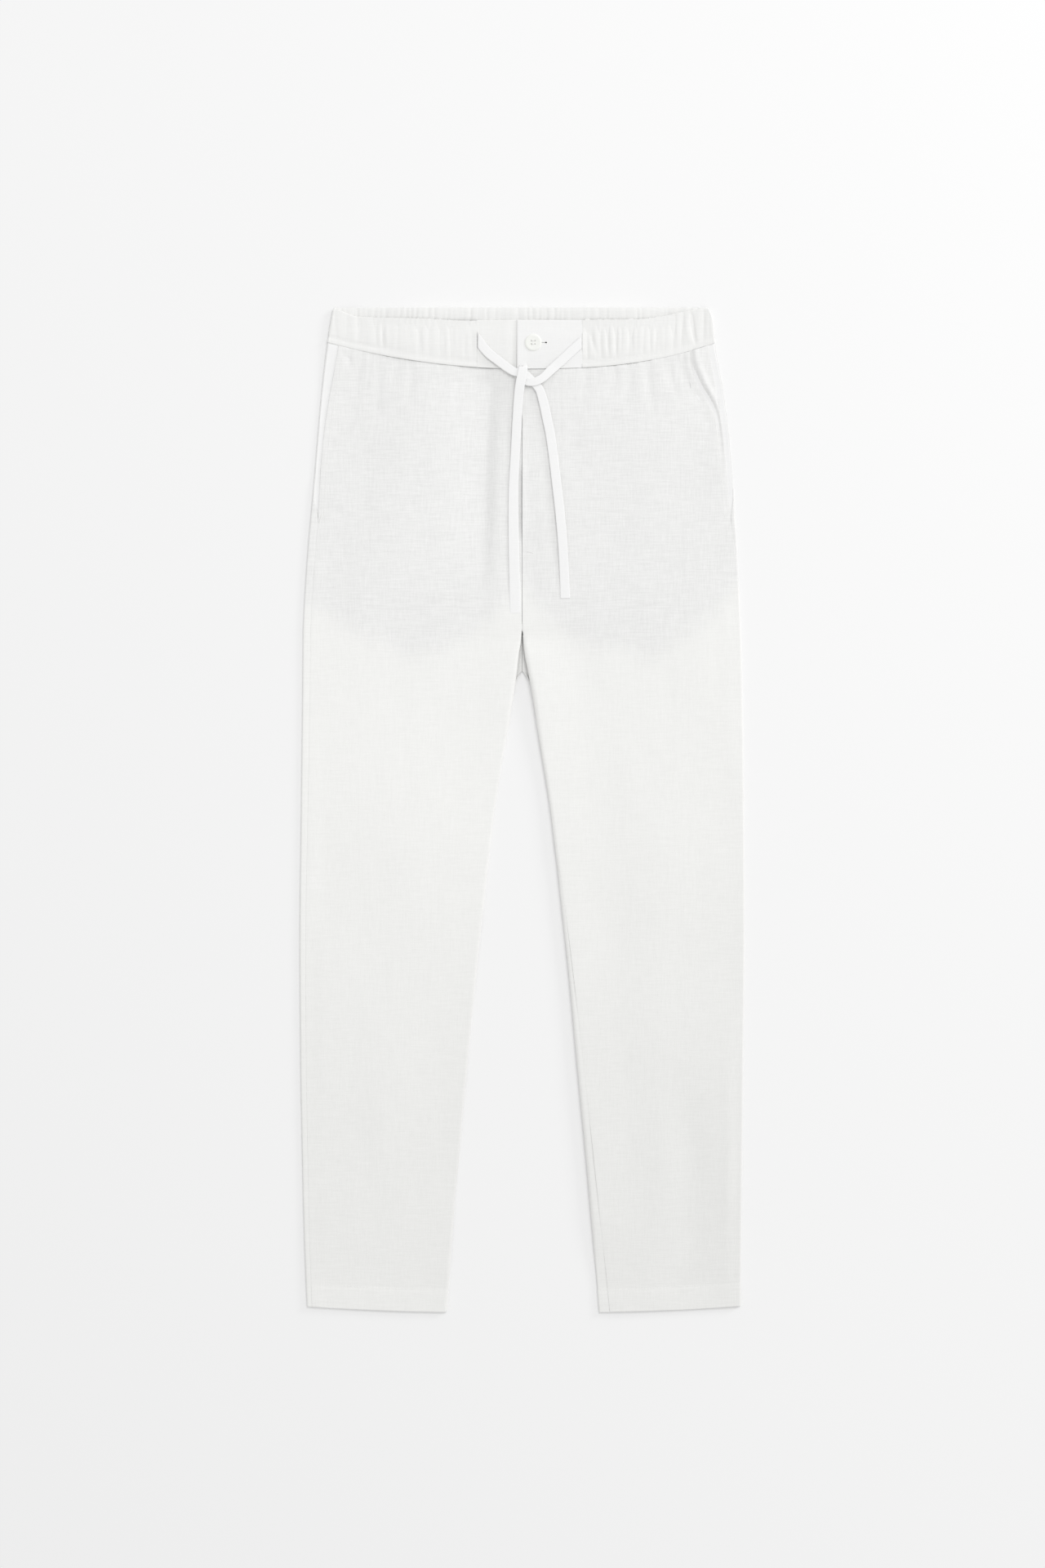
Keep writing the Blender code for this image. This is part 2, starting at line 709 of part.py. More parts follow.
# ---------------------------------------------------------------- drawstring
def smooth_route(route: tuple, steps: int) -> list[Route]:
    """Points on a smooth curve through a route's own points, in metres."""
    points = [Vector(row) * MM for row in route]
    ends = [2 * points[0] - points[1], *points, 2 * points[-1] - points[-2]]
    found = []
    for a, b, c, d in zip(ends, ends[1:], ends[2:], ends[3:]):
        for k in range(steps):
            t = k / steps
            curve = 2 * b + (c - a) * t + (2 * a - 5 * b + 4 * c - d) * t**2 + (3 * b - a - 3 * c + d) * t**3
            found.append(Route(*(curve / 2)))
    return found + [Route(*points[-1])]


def tape(name: str, route: tuple, slit_side: int) -> bpy.types.Object:
    """A flat woven tape along a route, its width kept level; its first edge lies along the slit it leaves."""
    line = smooth_route(route, 2)
    places = [Vector(row[:3]) for row in line]
    across = []
    proud = []
    for i, row in enumerate(line):
        ahead = places[min(i + 1, len(places) - 1)] - places[max(i - 1, 0)]
        level = Vector((-ahead.y, ahead.x, 0))
        turned = level.normalized() if level.length > 0.1 * ahead.length else across[-1].normalized()
        if across and turned.dot(across[-1]) < 0:
            turned.negate()
        across.append(turned * row.width / 2)
        proud.append(ahead.cross(turned).normalized() * TAPE_CLOTH / 2)
    slit = Vector((0, slit_side, 0))
    across[0] = slit * line[0].width / 2 / slit.dot(across[0].normalized())

    def place(column: int, row: int, depth: float) -> Vector:
        return places[row] + across[row] * (2 * column - 1) + proud[row] * (1 - 2 * depth)

    return add_object(name, wall(1, len(line) - 1, place), TAPE)


# ---------------------------------------------------------------- the trousers
def main() -> None:
    """Builds every piece."""
    for old in list(bpy.data.objects):
        bpy.data.objects.remove(old)
    for side, word in ((1, "left"), (-1, "right")):
        panel(f"front_{word}", side, False)
        panel(f"back_{word}", side, True)
        facing(f"pocket_facing_{word}", side)
        pocket_bag(f"pocket_bag_{word}", side)
    fly_top = BODY_HEIGHT - CLOTH - SEAM_GAP
    fly_piece("fly_facing", 0.6 * MM, 0.0, fly_top)
    fly_piece("fly_extension", -9 * MM, 3 * MM, fly_top - FLY_CLOTH - SEAM_GAP)
    band()
    tabs()
    button()
    tape("drawstring_left", ROUTE_LEFT, 1)
    tape("drawstring_right", ROUTE_RIGHT, -1)


main()
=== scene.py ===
"""Linen drawstring trousers laid flat: the finished pieces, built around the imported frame.

Lengths are in millimetres in the tables and in the form, and in metres in Blender.
"""

from __future__ import annotations

import logging
import math
from collections.abc import Callable, Iterator, Sequence
from dataclasses import dataclass, field
from enum import Enum
from typing import Any, NamedTuple

import bmesh
import bpy
import numpy as np
from mathutils import Matrix, Vector


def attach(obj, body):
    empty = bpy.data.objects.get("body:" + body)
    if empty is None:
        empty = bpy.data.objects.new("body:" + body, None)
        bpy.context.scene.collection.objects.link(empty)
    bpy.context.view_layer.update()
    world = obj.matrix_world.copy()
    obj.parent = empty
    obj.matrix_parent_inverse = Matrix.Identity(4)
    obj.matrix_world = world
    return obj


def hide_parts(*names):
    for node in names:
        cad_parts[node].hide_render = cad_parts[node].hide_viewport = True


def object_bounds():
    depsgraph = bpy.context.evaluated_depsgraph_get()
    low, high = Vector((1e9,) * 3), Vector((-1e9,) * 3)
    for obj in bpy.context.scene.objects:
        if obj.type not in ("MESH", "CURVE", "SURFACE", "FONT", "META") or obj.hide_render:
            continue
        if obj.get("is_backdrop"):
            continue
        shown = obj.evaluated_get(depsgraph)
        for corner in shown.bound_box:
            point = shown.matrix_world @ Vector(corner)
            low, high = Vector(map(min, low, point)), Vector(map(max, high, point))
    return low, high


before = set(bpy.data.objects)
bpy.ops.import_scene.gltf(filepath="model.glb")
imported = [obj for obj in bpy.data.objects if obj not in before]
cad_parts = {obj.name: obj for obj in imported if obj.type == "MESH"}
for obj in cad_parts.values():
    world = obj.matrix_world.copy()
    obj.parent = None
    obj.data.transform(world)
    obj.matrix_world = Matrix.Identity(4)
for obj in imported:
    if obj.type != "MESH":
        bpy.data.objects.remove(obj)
CAD_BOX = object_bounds()

logging.basicConfig(level=logging.INFO, format="%(message)s")
log = logging.getLogger("trousers")

MM = 0.001
Array = np.ndarray
Colour = tuple[float, float, float]


# ---------------------------------------------------------------- sizes
TINY = 1e-6  # a length or a share that counts as none
SEAM_GAP = 0.03  # between two pieces of cloth at a seam
CLOTH = 0.7  # wall of a front or back
THIN_CLOTH = 0.5  # wall of the layers of the pockets and the fly
CASING_CLOTH = 0.6
TAB_CLOTH = 1.2
LIP = 0.12  # the last strip of cloth before an edge, which keeps the edge crisp
EDGE_HALF = 1.35  # half the thickness of a leg at its folded edges
HEM_HALF = 1.6  # the same, at the hem
WAIST_HALF = 2.0  # the same, at the waist seam
CROTCH_HALF = {-1: 2.0, 1: 1.3}  # added to it at each leg's inner edge, by the crotch
LEFT_EXTRA = 1.9  # added to it all along the left leg's inner edge
FRAME_HALF = 3.2  # half the thickness of the frame's own loops at their folded edges
CROWN = 100.0  # how far in from an edge the cloth reaches its full height
CROWN_FROM = -6.0  # where its rise starts, outside the edge
LEG_HEIGHT = 5.2
HEM_LOWER = 1.9  # how much lower a leg is at its hem
BODY_HEIGHT = 6.8
BAND_HEIGHT = 9.0
HALF_WAIST = 198.0
SEAM_LOW = 452.5  # the waist seam at the centre front
SEAM_RISE = 27.0  # how far it climbs to each side
SEAM_BEND = {-1: 2.0, 1: 2.7}
BACK_SEAM_LOW = 474.0
BACK_SEAM_RISE = 5.5
BACK_TOP = 515.8
HEM_INNER = -515.5
HEM_SLANT = 6.0  # the hem is this much higher at the side seam
HEM_FROM = 78.0
HEM_TO = 224.0
HEM_DEPTH = 25.0
HEM_STITCH = 1.6  # how far the hem's stitches lie below its turned-up edge
HEM_STEP = 0.3  # how far the turned-up layer raises the cloth
HEM_GROOVE = 1.1  # half the width of the groove that its stitches pull
CROTCH = 208.0
CURL_TOP = 190.0  # the inner edges roll over from here
CURL_LOW = 160.0  # to here
FORK = 136.0  # the level of the backs' fork, which hangs lower than the fronts'
WAIST = 480.0  # the level that is eased to the waist seam
FLY_WIDTH = 39.0
FLY_BEND = 330.0  # the fly's stitching turns in below this
FLY_BOTTOM = 266.0
WELT = 6.5  # the stitched strip above the waist seam
SAG_SEAM = 1.2  # how far the band sinks towards the waist seam
SAG_SEAM_LEFT = 0.5  # how much further on the wearer's left
SAG_TOP = 1.4  # how far it sinks towards its upper edge
TAB_RIGHT = -46.2
TAB_SPLIT = -5.4
TAB_LEFT = 61.7
TAB_UNDER = 32.0  # the right tab runs on under the left one
TAB_TOP = 502.8
LEFT_TAB_Z = 8.9
RIGHT_TAB_Z = 8.4
UNDER_TAB_Z = 7.55
BUTTON_AT = (11.3, 479.3)
BUTTONHOLE = (9.0, 25.6)
EYE_AT = 24.4  # the middle of the buttonhole's round eye
EYE_HALF = (1.15, 0.72)  # half its length and half its width
SLIT_AT = {-1: 482.0, 1: 479.5}  # the middles of the slits that the drawstring comes out of
TAPE_WIDTH = 9.6
TAPE_CLOTH = 1.05
PROUD = 0.02  # how far the middle of a stitch stands above the cloth


class Section(NamedTuple):
    """Where the inner and side edges of both halves lie at a level."""

    y: float
    right_out: float
    right_in: float
    left_in: float
    left_out: float


SECTIONS = (
    Section(516, 194.0, 0.15, 0.15, 191.5),
    Section(504, 196.2, 0.15, 0.15, 195.8),
    Section(480, 200.0, 0.15, 0.15, 198.0),
    Section(432, 205.7, 0.15, 0.15, 206.3),
    Section(384, 210.0, 0.15, 0.15, 212.6),
    Section(328, 214.5, 0.15, 0.15, 216.8),
    Section(272, 219.6, 0.15, 0.15, 220.2),
    Section(234, 222.3, 0.15, 0.15, 222.2),
    Section(208, 223.8, 0.15, 0.15, 223.4),
    Section(178, 224.9, 0.5, 0.6, 224.6),
    Section(161, 225.0, 2.8, 2.2, 225.2),
    Section(144, 225.1, 4.8, 5.4, 225.6),
    Section(120, 225.3, 8.6, 10.4, 226.0),
    Section(77, 225.8, 15.6, 16.6, 226.7),
    Section(-7, 226.8, 28.9, 29.7, 227.6),
    Section(-132, 228.2, 43.4, 43.8, 228.2),
    Section(-258, 227.4, 55.7, 56.0, 226.8),
    Section(-342, 225.9, 63.3, 64.0, 225.9),
    Section(-426, 224.0, 70.8, 71.6, 225.0),
    Section(-516, 220.5, 77.6, 79.0, 224.2),
)


class SeamRow(NamedTuple):
    """How far the panels' edges lie onto the front face at a level."""

    y: float
    right_front: float
    right_back: float
    left_front: float
    left_back: float
    left_inseam: float


SEAMS = (
    SeamRow(500, 15.0, 0.0, 9.8, 0.0, 0.0),
    SeamRow(458, 13.4, 0.0, 9.6, 0.0, 0.0),
    SeamRow(420, 10.1, 0.0, 9.0, 0.0, 0.0),
    SeamRow(385, 8.2, 0.0, 8.2, 0.0, 0.0),
    SeamRow(350, 7.8, 0.0, 7.4, 0.0, 0.0),
    SeamRow(322, 8.5, 3.0, 7.0, 1.0, 0.0),
    SeamRow(298, 9.4, 9.4, 6.2, 6.2, 0.0),
    SeamRow(280, 9.9, 9.9, 4.6, 4.6, 0.0),
    SeamRow(262, 9.8, 9.8, 2.0, 2.0, 0.0),
    SeamRow(240, 9.6, 9.6, 0.3, 0.3, 0.0),
    SeamRow(120, 9.2, 9.2, 0.0, 0.0, 0.0),
    SeamRow(-20, 8.4, 8.4, 0.0, 0.0, 0.5),
    SeamRow(-75, 8.0, 8.0, 0.0, 0.0, 4.5),
    SeamRow(-200, 7.6, 7.6, 0.0, 0.0, 7.5),
    SeamRow(-516, 7.0, 7.0, 0.0, 0.0, 12.0),
)


class Edge(NamedTuple):
    """A point on the upper edge of the front of the waistband."""

    x: float
    y: float


BAND_TOP = (
    Edge(-194, 513.5),
    Edge(-173, 506.5),
    Edge(-105, 504.3),
    Edge(-54, 502.0),
    Edge(62, 502.8),
    Edge(120, 503.6),
    Edge(147, 507.0),
    Edge(170, 511.5),
    Edge(192, 515.2),
)


class Route(NamedTuple):
    """A point on the middle line of a drawstring end, with the tape's width there."""

    x: float
    y: float
    z: float
    width: float


ROUTE_LEFT = (
    Route(61.0, 479.5, 9.9, 9.6),
    Route(53.2, 472.6, 9.9, 9.6),
    Route(42.3, 462.6, 9.9, 9.6),
    Route(33.9, 455.0, 10.0, 9.4),
    Route(26.4, 447.9, 10.7, 8.8),
    Route(20.5, 442.6, 11.2, 8.4),
    Route(13.8, 439.2, 11.3, 8.2),
    Route(7.1, 438.7, 10.9, 8.0),
    Route(1.8, 440.4, 10.0, 7.0),
    Route(0.2, 444.5, 9.8, 6.4),
    Route(0.5, 450.0, 9.8, 6.4),
    Route(0.9, 453.4, 10.2, 7.0),
    Route(1.1, 454.4, 11.0, 8.0),
    Route(1.1, 453.7, 11.8, 9.0),
    Route(0.7, 450.0, 12.1, 9.8),
    Route(-0.9, 442.5, 12.2, 9.6),
    Route(-2.6, 432.5, 11.5, 9.6),
    Route(-3.8, 420.7, 10.3, 9.6),
    Route(-5.4, 395.5, 9.1, 9.6),
    Route(-7.1, 364.5, 8.3, 9.4),
    Route(-8.9, 328.5, 7.9, 10.0),
    Route(-8.8, 286.6, 7.95, 10.8),
    Route(-8.0, 244.7, 7.7, 11.0),
    Route(-7.0, 202.0, 6.4, 11.2),
)
ROUTE_RIGHT = (
    Route(-45.6, 482.2, 9.4, 9.6),
    Route(-35.6, 469.7, 10.1, 9.6),
    Route(-24.7, 460.9, 10.6, 9.4),
    Route(-14.7, 453.3, 10.8, 8.8),
    Route(-7.6, 449.2, 10.8, 8.4),
    Route(-1.5, 448.4, 10.95, 8.2),
    Route(4.2, 445.7, 10.6, 8.4),
    Route(10.8, 439.6, 9.8, 8.4),
    Route(15.3, 434.6, 9.3, 8.4),
    Route(18.6, 429.4, 9.2, 8.8),
    Route(22.4, 416.5, 8.9, 9.6),
    Route(25.4, 402.2, 8.7, 9.6),
    Route(28.9, 385.5, 8.5, 9.6),
    Route(31.8, 365.4, 8.4, 9.6),
    Route(35.2, 336.9, 8.7, 9.6),
    Route(39.0, 303.4, 8.9, 9.6),
    Route(41.5, 274.0, 8.7, 9.6),
    Route(43.2, 244.7, 8.0, 9.6),
    Route(44.2, 217.4, 6.9, 9.6),
)


class Side(Enum):
    """The wearer's side: the left half lies towards +X."""

    LEFT = 1
    RIGHT = -1

    @property
    def word(self) -> str:
        """The side's name as the nodes spell it."""
        return self.name.lower()


class Layer(Enum):
    """Which half of a leg's loop a panel covers."""

    FRONT = "front"
    BACK = "back"


class Fade(Enum):
    """Where a crease dies away along its length."""

    BOTH = "both"
    END = "end"


# ---------------------------------------------------------------- numbers
def ease(low: float, high: float, value: Array | float) -> Array:
    """Rises smoothly from 0 at low to 1 at high.

    Args:
        low: Where the rise starts.
        high: Where it ends.
        value: Places to read.

    Returns:
        The share at each place.
    """
    t = np.clip((np.asarray(value, float) - low) / (high - low), 0.0, 1.0)
    return t * t * (3 - 2 * t)


class Line:
    """A smooth line through pairs of numbers, which never overshoots a pair."""

    def __init__(self, pairs: Sequence[tuple[float, float]]) -> None:
        """Takes the pairs in any order."""
        self.keys, self.values = np.array(sorted(pairs), float).T
        steep = np.diff(self.values) / np.diff(self.keys)
        before, after = np.append(steep[0], steep), np.append(steep, steep[-1])
        agree = before * after > 0
        self.slopes = np.where(agree, 2 * before * after / np.where(agree, before + after, 1.0), 0.0)

    def __call__(self, key: Array | float) -> Array:
        """Reads the line.

        Args:
            key: Places to read.

        Returns:
            The line's value at each place.
        """
        key = np.asarray(key, float)
        i = np.clip(np.searchsorted(self.keys, key, side="right") - 1, 0, len(self.keys) - 2)
        span = self.keys[i + 1] - self.keys[i]
        t = np.clip((key - self.keys[i]) / span, 0.0, 1.0)
        return (
            (2 * t**3 - 3 * t**2 + 1) * self.values[i]
            + (t**3 - 2 * t**2 + t) * span * self.slopes[i]
            + (3 * t**2 - 2 * t**3) * self.values[i + 1]
            + (t**3 - t**2) * span * self.slopes[i + 1]
        )


def column_line(rows: Sequence[NamedTuple], key: str, column: str) -> Line:
    """The smooth line through one column of a table.

    Args:
        rows: The table.
        key: The column that is read along.
        column: The column that is read.

    Returns:
        The line.
    """
    return Line([(getattr(row, key), getattr(row, column)) for row in rows])


def kept(distance: Array) -> Array:
    """Turns a seam's distance from the side edge of the frame's thicker loop into one on this thinner loop."""
    return distance - (math.pi / 2 - 1) * (FRAME_HALF - EDGE_HALF) * ease(0, 5, distance)


INNER = {s: column_line(SECTIONS, "y", f"{s.word}_in") for s in Side}
OUTER = {s: column_line(SECTIONS, "y", f"{s.word}_out") for s in Side}
SIDE_EDGE = {(s, p): column_line(SEAMS, "y", f"{s.word}_{p.value}") for s in Side for p in Layer}
INSEAM = column_line(SEAMS, "y", "left_inseam")
BAND_TOP_LINE = column_line(BAND_TOP, "x", "y")


def waist_seam(x: Array, layer: Layer) -> Array:
    """The level of the seam under the waistband.

    Args:
        x: Places across the body.
        layer: The front's seam or the back's.

    Returns:
        The seam's level at each place.
    """
    reach = np.abs(x) / HALF_WAIST
    if layer is Layer.BACK:
        return BACK_SEAM_LOW + BACK_SEAM_RISE * reach**4
    bend = np.where(np.asarray(x) < 0, SEAM_BEND[-1], SEAM_BEND[1])
    return SEAM_LOW + SEAM_RISE * reach**bend


def hem_edge(x: Array) -> Array:
    """The level of a leg's lower edge at places across it."""
    reach = np.maximum((np.abs(x) - HEM_FROM) / (HEM_TO - HEM_FROM), 0.0)
    return HEM_INNER + HEM_SLANT * reach**1.6


def spread(knots: Sequence[Array], steps: Sequence[int]) -> Array:
    """Distances for every column of a grid, spaced evenly between knots that differ from row to row.

    Args:
        knots: The distances of the knots, each as rows by columns.
        steps: How many columns lie between each pair of knots.

    Returns:
        Rows by columns of distances.
    """
    stops = np.stack(np.broadcast_arrays(*knots))
    columns = np.arange(sum(steps) + 1)
    part = np.append(np.repeat(np.arange(len(steps)), steps), len(steps) - 1)
    share = np.append(np.concatenate([np.arange(n) / n for n in steps]), 1.0)
    low, high = stops[part, :, columns].T, stops[part + 1, :, columns].T
    return low + (high - low) * share


def levels(stops: Sequence[tuple[float, int]]) -> Array:
    """Levels from (start, steps to the next start) pairs; the last pair's steps are not read."""
    runs = [np.linspace(a, b, n, endpoint=False) for (a, n), (b, _) in zip(stops, stops[1:])]
    return np.append(np.concatenate(runs), stops[-1][0])


# ---------------------------------------------------------------- creases
@dataclass(frozen=True)
class Crease:
    """A soft trough or ridge along a smooth line, given one by one.

    The line runs through its points, which rise or fall steadily along their longer direction.
    Its side towards the wearer's right, or towards the hem, is `wider` times as wide as the other.
    """

    points: tuple[tuple[float, float], ...]
    width: float
    rise: float
    fade: Fade = Fade.BOTH
    wider: float = 1.0

    def lift(self, x: Array, y: Array) -> Array:
        """How far it raises the cloth, less than nothing for a trough.

        Args:
            x: Places across the body.
            y: Places up the body.

        Returns:
            The rise at each place.
        """
        first, last = self.points[0], self.points[-1]
        upright = abs(last[1] - first[1]) >= abs(last[0] - first[0])
        main, other = (y, x) if upright else (x, y)
        k = 1 if upright else 0
        middle = Line([(p[k], p[1 - k]) for p in self.points])(main)
        t = (main - first[k]) / (last[k] - first[k])
        slant = (last[1 - k] - first[1 - k]) / (last[k] - first[k])
        aside = (other - middle) / math.sqrt(1 + slant * slant) / self.width
        aside = np.where(aside < 0, aside / self.wider, aside)
        inside = np.clip(t, 0.0, 1.0)
        both = self.fade is Fade.BOTH
        along = np.sin(np.pi * inside) ** 0.7 if both else np.cos(np.pi / 2 * inside) ** 1.5
        along = np.where((t > 1) | ((t < 0) & both), 0.0, along)
        return self.rise * np.exp(-2 * aside**2) * along


@dataclass(frozen=True)
class Waves:
    """The cloth's gentle unevenness: a few long, seeded waves laid over each other."""

    seed: int
    count: int
    shortest: float
    longest: float
    height: float

    def lift(self, x: Array, y: Array) -> Array:
        """How far the waves raise the cloth at places across and up the body."""
        rng = np.random.default_rng(self.seed)
        total = np.zeros(np.broadcast(x, y).shape)
        for _ in range(self.count):
            turn, phase = rng.uniform(0, np.pi), rng.uniform(0, 2 * np.pi)
            pace = 2 * np.pi / rng.uniform(self.shortest, self.longest)
            total += np.cos(pace * (x * math.cos(turn) + y * math.sin(turn) * 0.6) + phase)
        return total * self.height / math.sqrt(self.count)


@dataclass(frozen=True)
class Puckers:
    """Short uneven troughs that run away from a gathered seam."""

    seed: int
    start: float
    end: float
    pitch: float
    length: float
    depth: float

    def lift(self, x: Array, away: Array) -> Array:
        """How far they lower the cloth.

        Args:
            x: Places along the seam.
            away: Distances from the seam.

        Returns:
            The rise at each place, never more than nothing.
        """
        rng = np.random.default_rng(self.seed)
        total = np.zeros(np.broadcast(x, away).shape)
        at = self.start
        while at < self.end:
            width = self.pitch * rng.uniform(0.28, 0.55)
            length = self.length * rng.uniform(0.4, 1.5)
            depth = self.depth * rng.uniform(0.25, 1.0)
            lean = rng.uniform(-0.18, 0.18)
            aside = (x - at - lean * away) / (width * (1 + away / length))
            total -= depth * np.exp(-(aside**2) - (away / length) ** 2)
            at += self.pitch * rng.uniform(0.6, 1.5)
        return np.where(away > -2, total, 0.0)


@dataclass(frozen=True)
class Gathers:
    """A row of gathers in elasticated cloth: rounded ridges with sharp valleys, all uneven."""

    seed: int
    length: float
    pitch: float
    depth: float

    def lift(self, along: Array, up: Array) -> Array:
        """How far the valleys lower the cloth.

        Args:
            along: Distances along the band.
            up: Shares of the band's depth, from 0 at its seam to 1 at its upper edge.

        Returns:
            The rise at each place, never more than nothing.
        """
        rng = np.random.default_rng(self.seed)
        total = np.zeros(np.broadcast(along, up).shape)
        at = 0.0
        while at < self.length:
            width = self.pitch * rng.uniform(0.22, 0.5)
            depth = self.depth * rng.uniform(0.2, 1.0)
            lean = rng.uniform(-3.2, 3.2)
            low, high = rng.uniform(-0.4, 0.35), rng.uniform(0.95, 1.7)
            aside = np.abs(along - at - lean * (up - 0.5)) / width
            reach = np.clip(1 - aside / 2, 0.0, 1.0) ** 2.2
            envelope = ease(low - 0.25, low + 0.2, up) * (1 - ease(high - 0.2, high + 0.25, up))
            total -= depth * reach * envelope
            at += self.pitch * rng.uniform(0.55, 1.5)
        return total


# ---------------------------------------------------------------- the flattened form
class Form:
    """The flattened loop of one half of the trousers at many levels, measured along its outside.

    Distance 0 is the middle of the inner edge; the loop runs over the top to the side edge, then back
    underneath.  Above the crotch the inner edge isn't curled: it runs flat to the centre seams.
    """

    def __init__(self, side: Side, y: Array, layer: Layer = Layer.FRONT) -> None:
        """Reads the tables at the levels."""
        self.side = side
        self.y = np.asarray(y, float)
        self.inner, self.outer = INNER[side](self.y), OUTER[side](self.y)
        body = ease(CROTCH - 120, CROTCH, self.y)
        hem = 1 - ease(HEM_INNER + HEM_DEPTH, HEM_INNER + 110, self.y)
        self.height = LEG_HEIGHT + (BODY_HEIGHT - LEG_HEIGHT) * body - HEM_LOWER * hem
        waist = ease(425, 476, self.y)
        self.half = EDGE_HALF + (HEM_HALF - EDGE_HALF) * hem + (WAIST_HALF - EDGE_HALF) * waist
        self.curl = 1 - ease(CURL_LOW, CURL_TOP, self.y)
        if layer is Layer.BACK:
            forked = ease(FORK - 3, FORK + 4, self.y)
            self.inner = self.inner + (0.02 - self.inner) * forked
            self.curl = self.curl * (1 - forked)
        extra = LEFT_EXTRA * (1 - hem) if side is Side.LEFT else 0.0
        self.inner_half = self.half + extra + CROTCH_HALF[side.value] * ease(20, 150, self.y)
        self.arc, self.inner_arc = np.pi / 2 * self.half, np.pi / 2 * self.inner_half
        self.face = self.arc + self.inner_arc + self.outer - self.inner - self.half - self.inner_half

    def at(self, along: Array, inset: Array | float = 0.0) -> Array:
        """Points at distances along the loop.

        Args:
            along: Distances from the middle of the inner edge.
            inset: How far in from the surface they lie.

        Returns:
            Points, as the last axis of an array.
        """
        past = along > 2 * self.face
        under = (along > self.face) & ~past
        s = np.where(past, along - 2 * self.face, np.where(under, 2 * self.face - along, along))
        near, far = s < self.inner_arc, s > self.face - self.arc
        turn = np.where(far, (self.face - s) / self.half, 0)
        turn = np.where(near, np.maximum(s, 0) / self.inner_half, turn)
        cosine, sine = np.cos(turn), np.sin(turn)
        curled = np.hypot(self.curl * cosine, sine)
        curled = np.where(self.curl > TINY, np.maximum(curled, TINY), 1.0)
        x = self.inner + self.inner_half + s - self.inner_arc
        x = np.where(near, self.inner + self.inner_half * (1 - cosine), x)
        x = np.where(far, self.outer - self.half * (1 - cosine), x)
        drop = np.where(far, self.half * (1 - sine), 0.0)
        drop = np.where(near, self.curl * self.inner_half * (1 - sine), drop)
        sideways = self.curl * cosine / curled * ease(0.0, 0.35, self.curl)
        lean = np.where(near, sideways, np.where(far, -cosine, 0.0))
        rise = np.where(near & (self.curl > TINY), sine / curled, np.where(far, sine, 1.0))
        x = x + inset * lean
        z = drop + inset * rise
        z = np.where(under, z, 2 * self.half + self.crown(x) - z)
        return np.stack([self.side.value * x, np.broadcast_to(self.y, x.shape), z], axis=-1)

    def crown(self, x: Array) -> Array:
        """How far the upper face stands above the folded edges, over distances from the middle."""
        at_edge = ease(CROWN_FROM, CROWN, 0)
        outer = ease(CROWN_FROM, CROWN, self.outer - x) - at_edge
        inner = ease(CROWN_FROM, CROWN, x - self.inner) - at_edge
        rise = (self.height - 2 * self.half) * outer * (1 - self.curl * (1 - inner))
        thicker = 2 * (self.inner_half - self.half) * self.curl * (1 - ease(0, 0.8 * CROWN, x - self.inner))
        return rise + thicker * (1 - rise / (self.height - 2 * self.half))

    def top(self, x: Array) -> Array:
        """The level of the upper face, over places across the body, before any crease."""
        reach = np.clip(1 - (self.outer - np.abs(x)) / self.half, 0.0, 1.0)
        return 2 * self.half + self.crown(np.abs(x)) - self.half * (1 - np.sqrt(1 - reach**2))


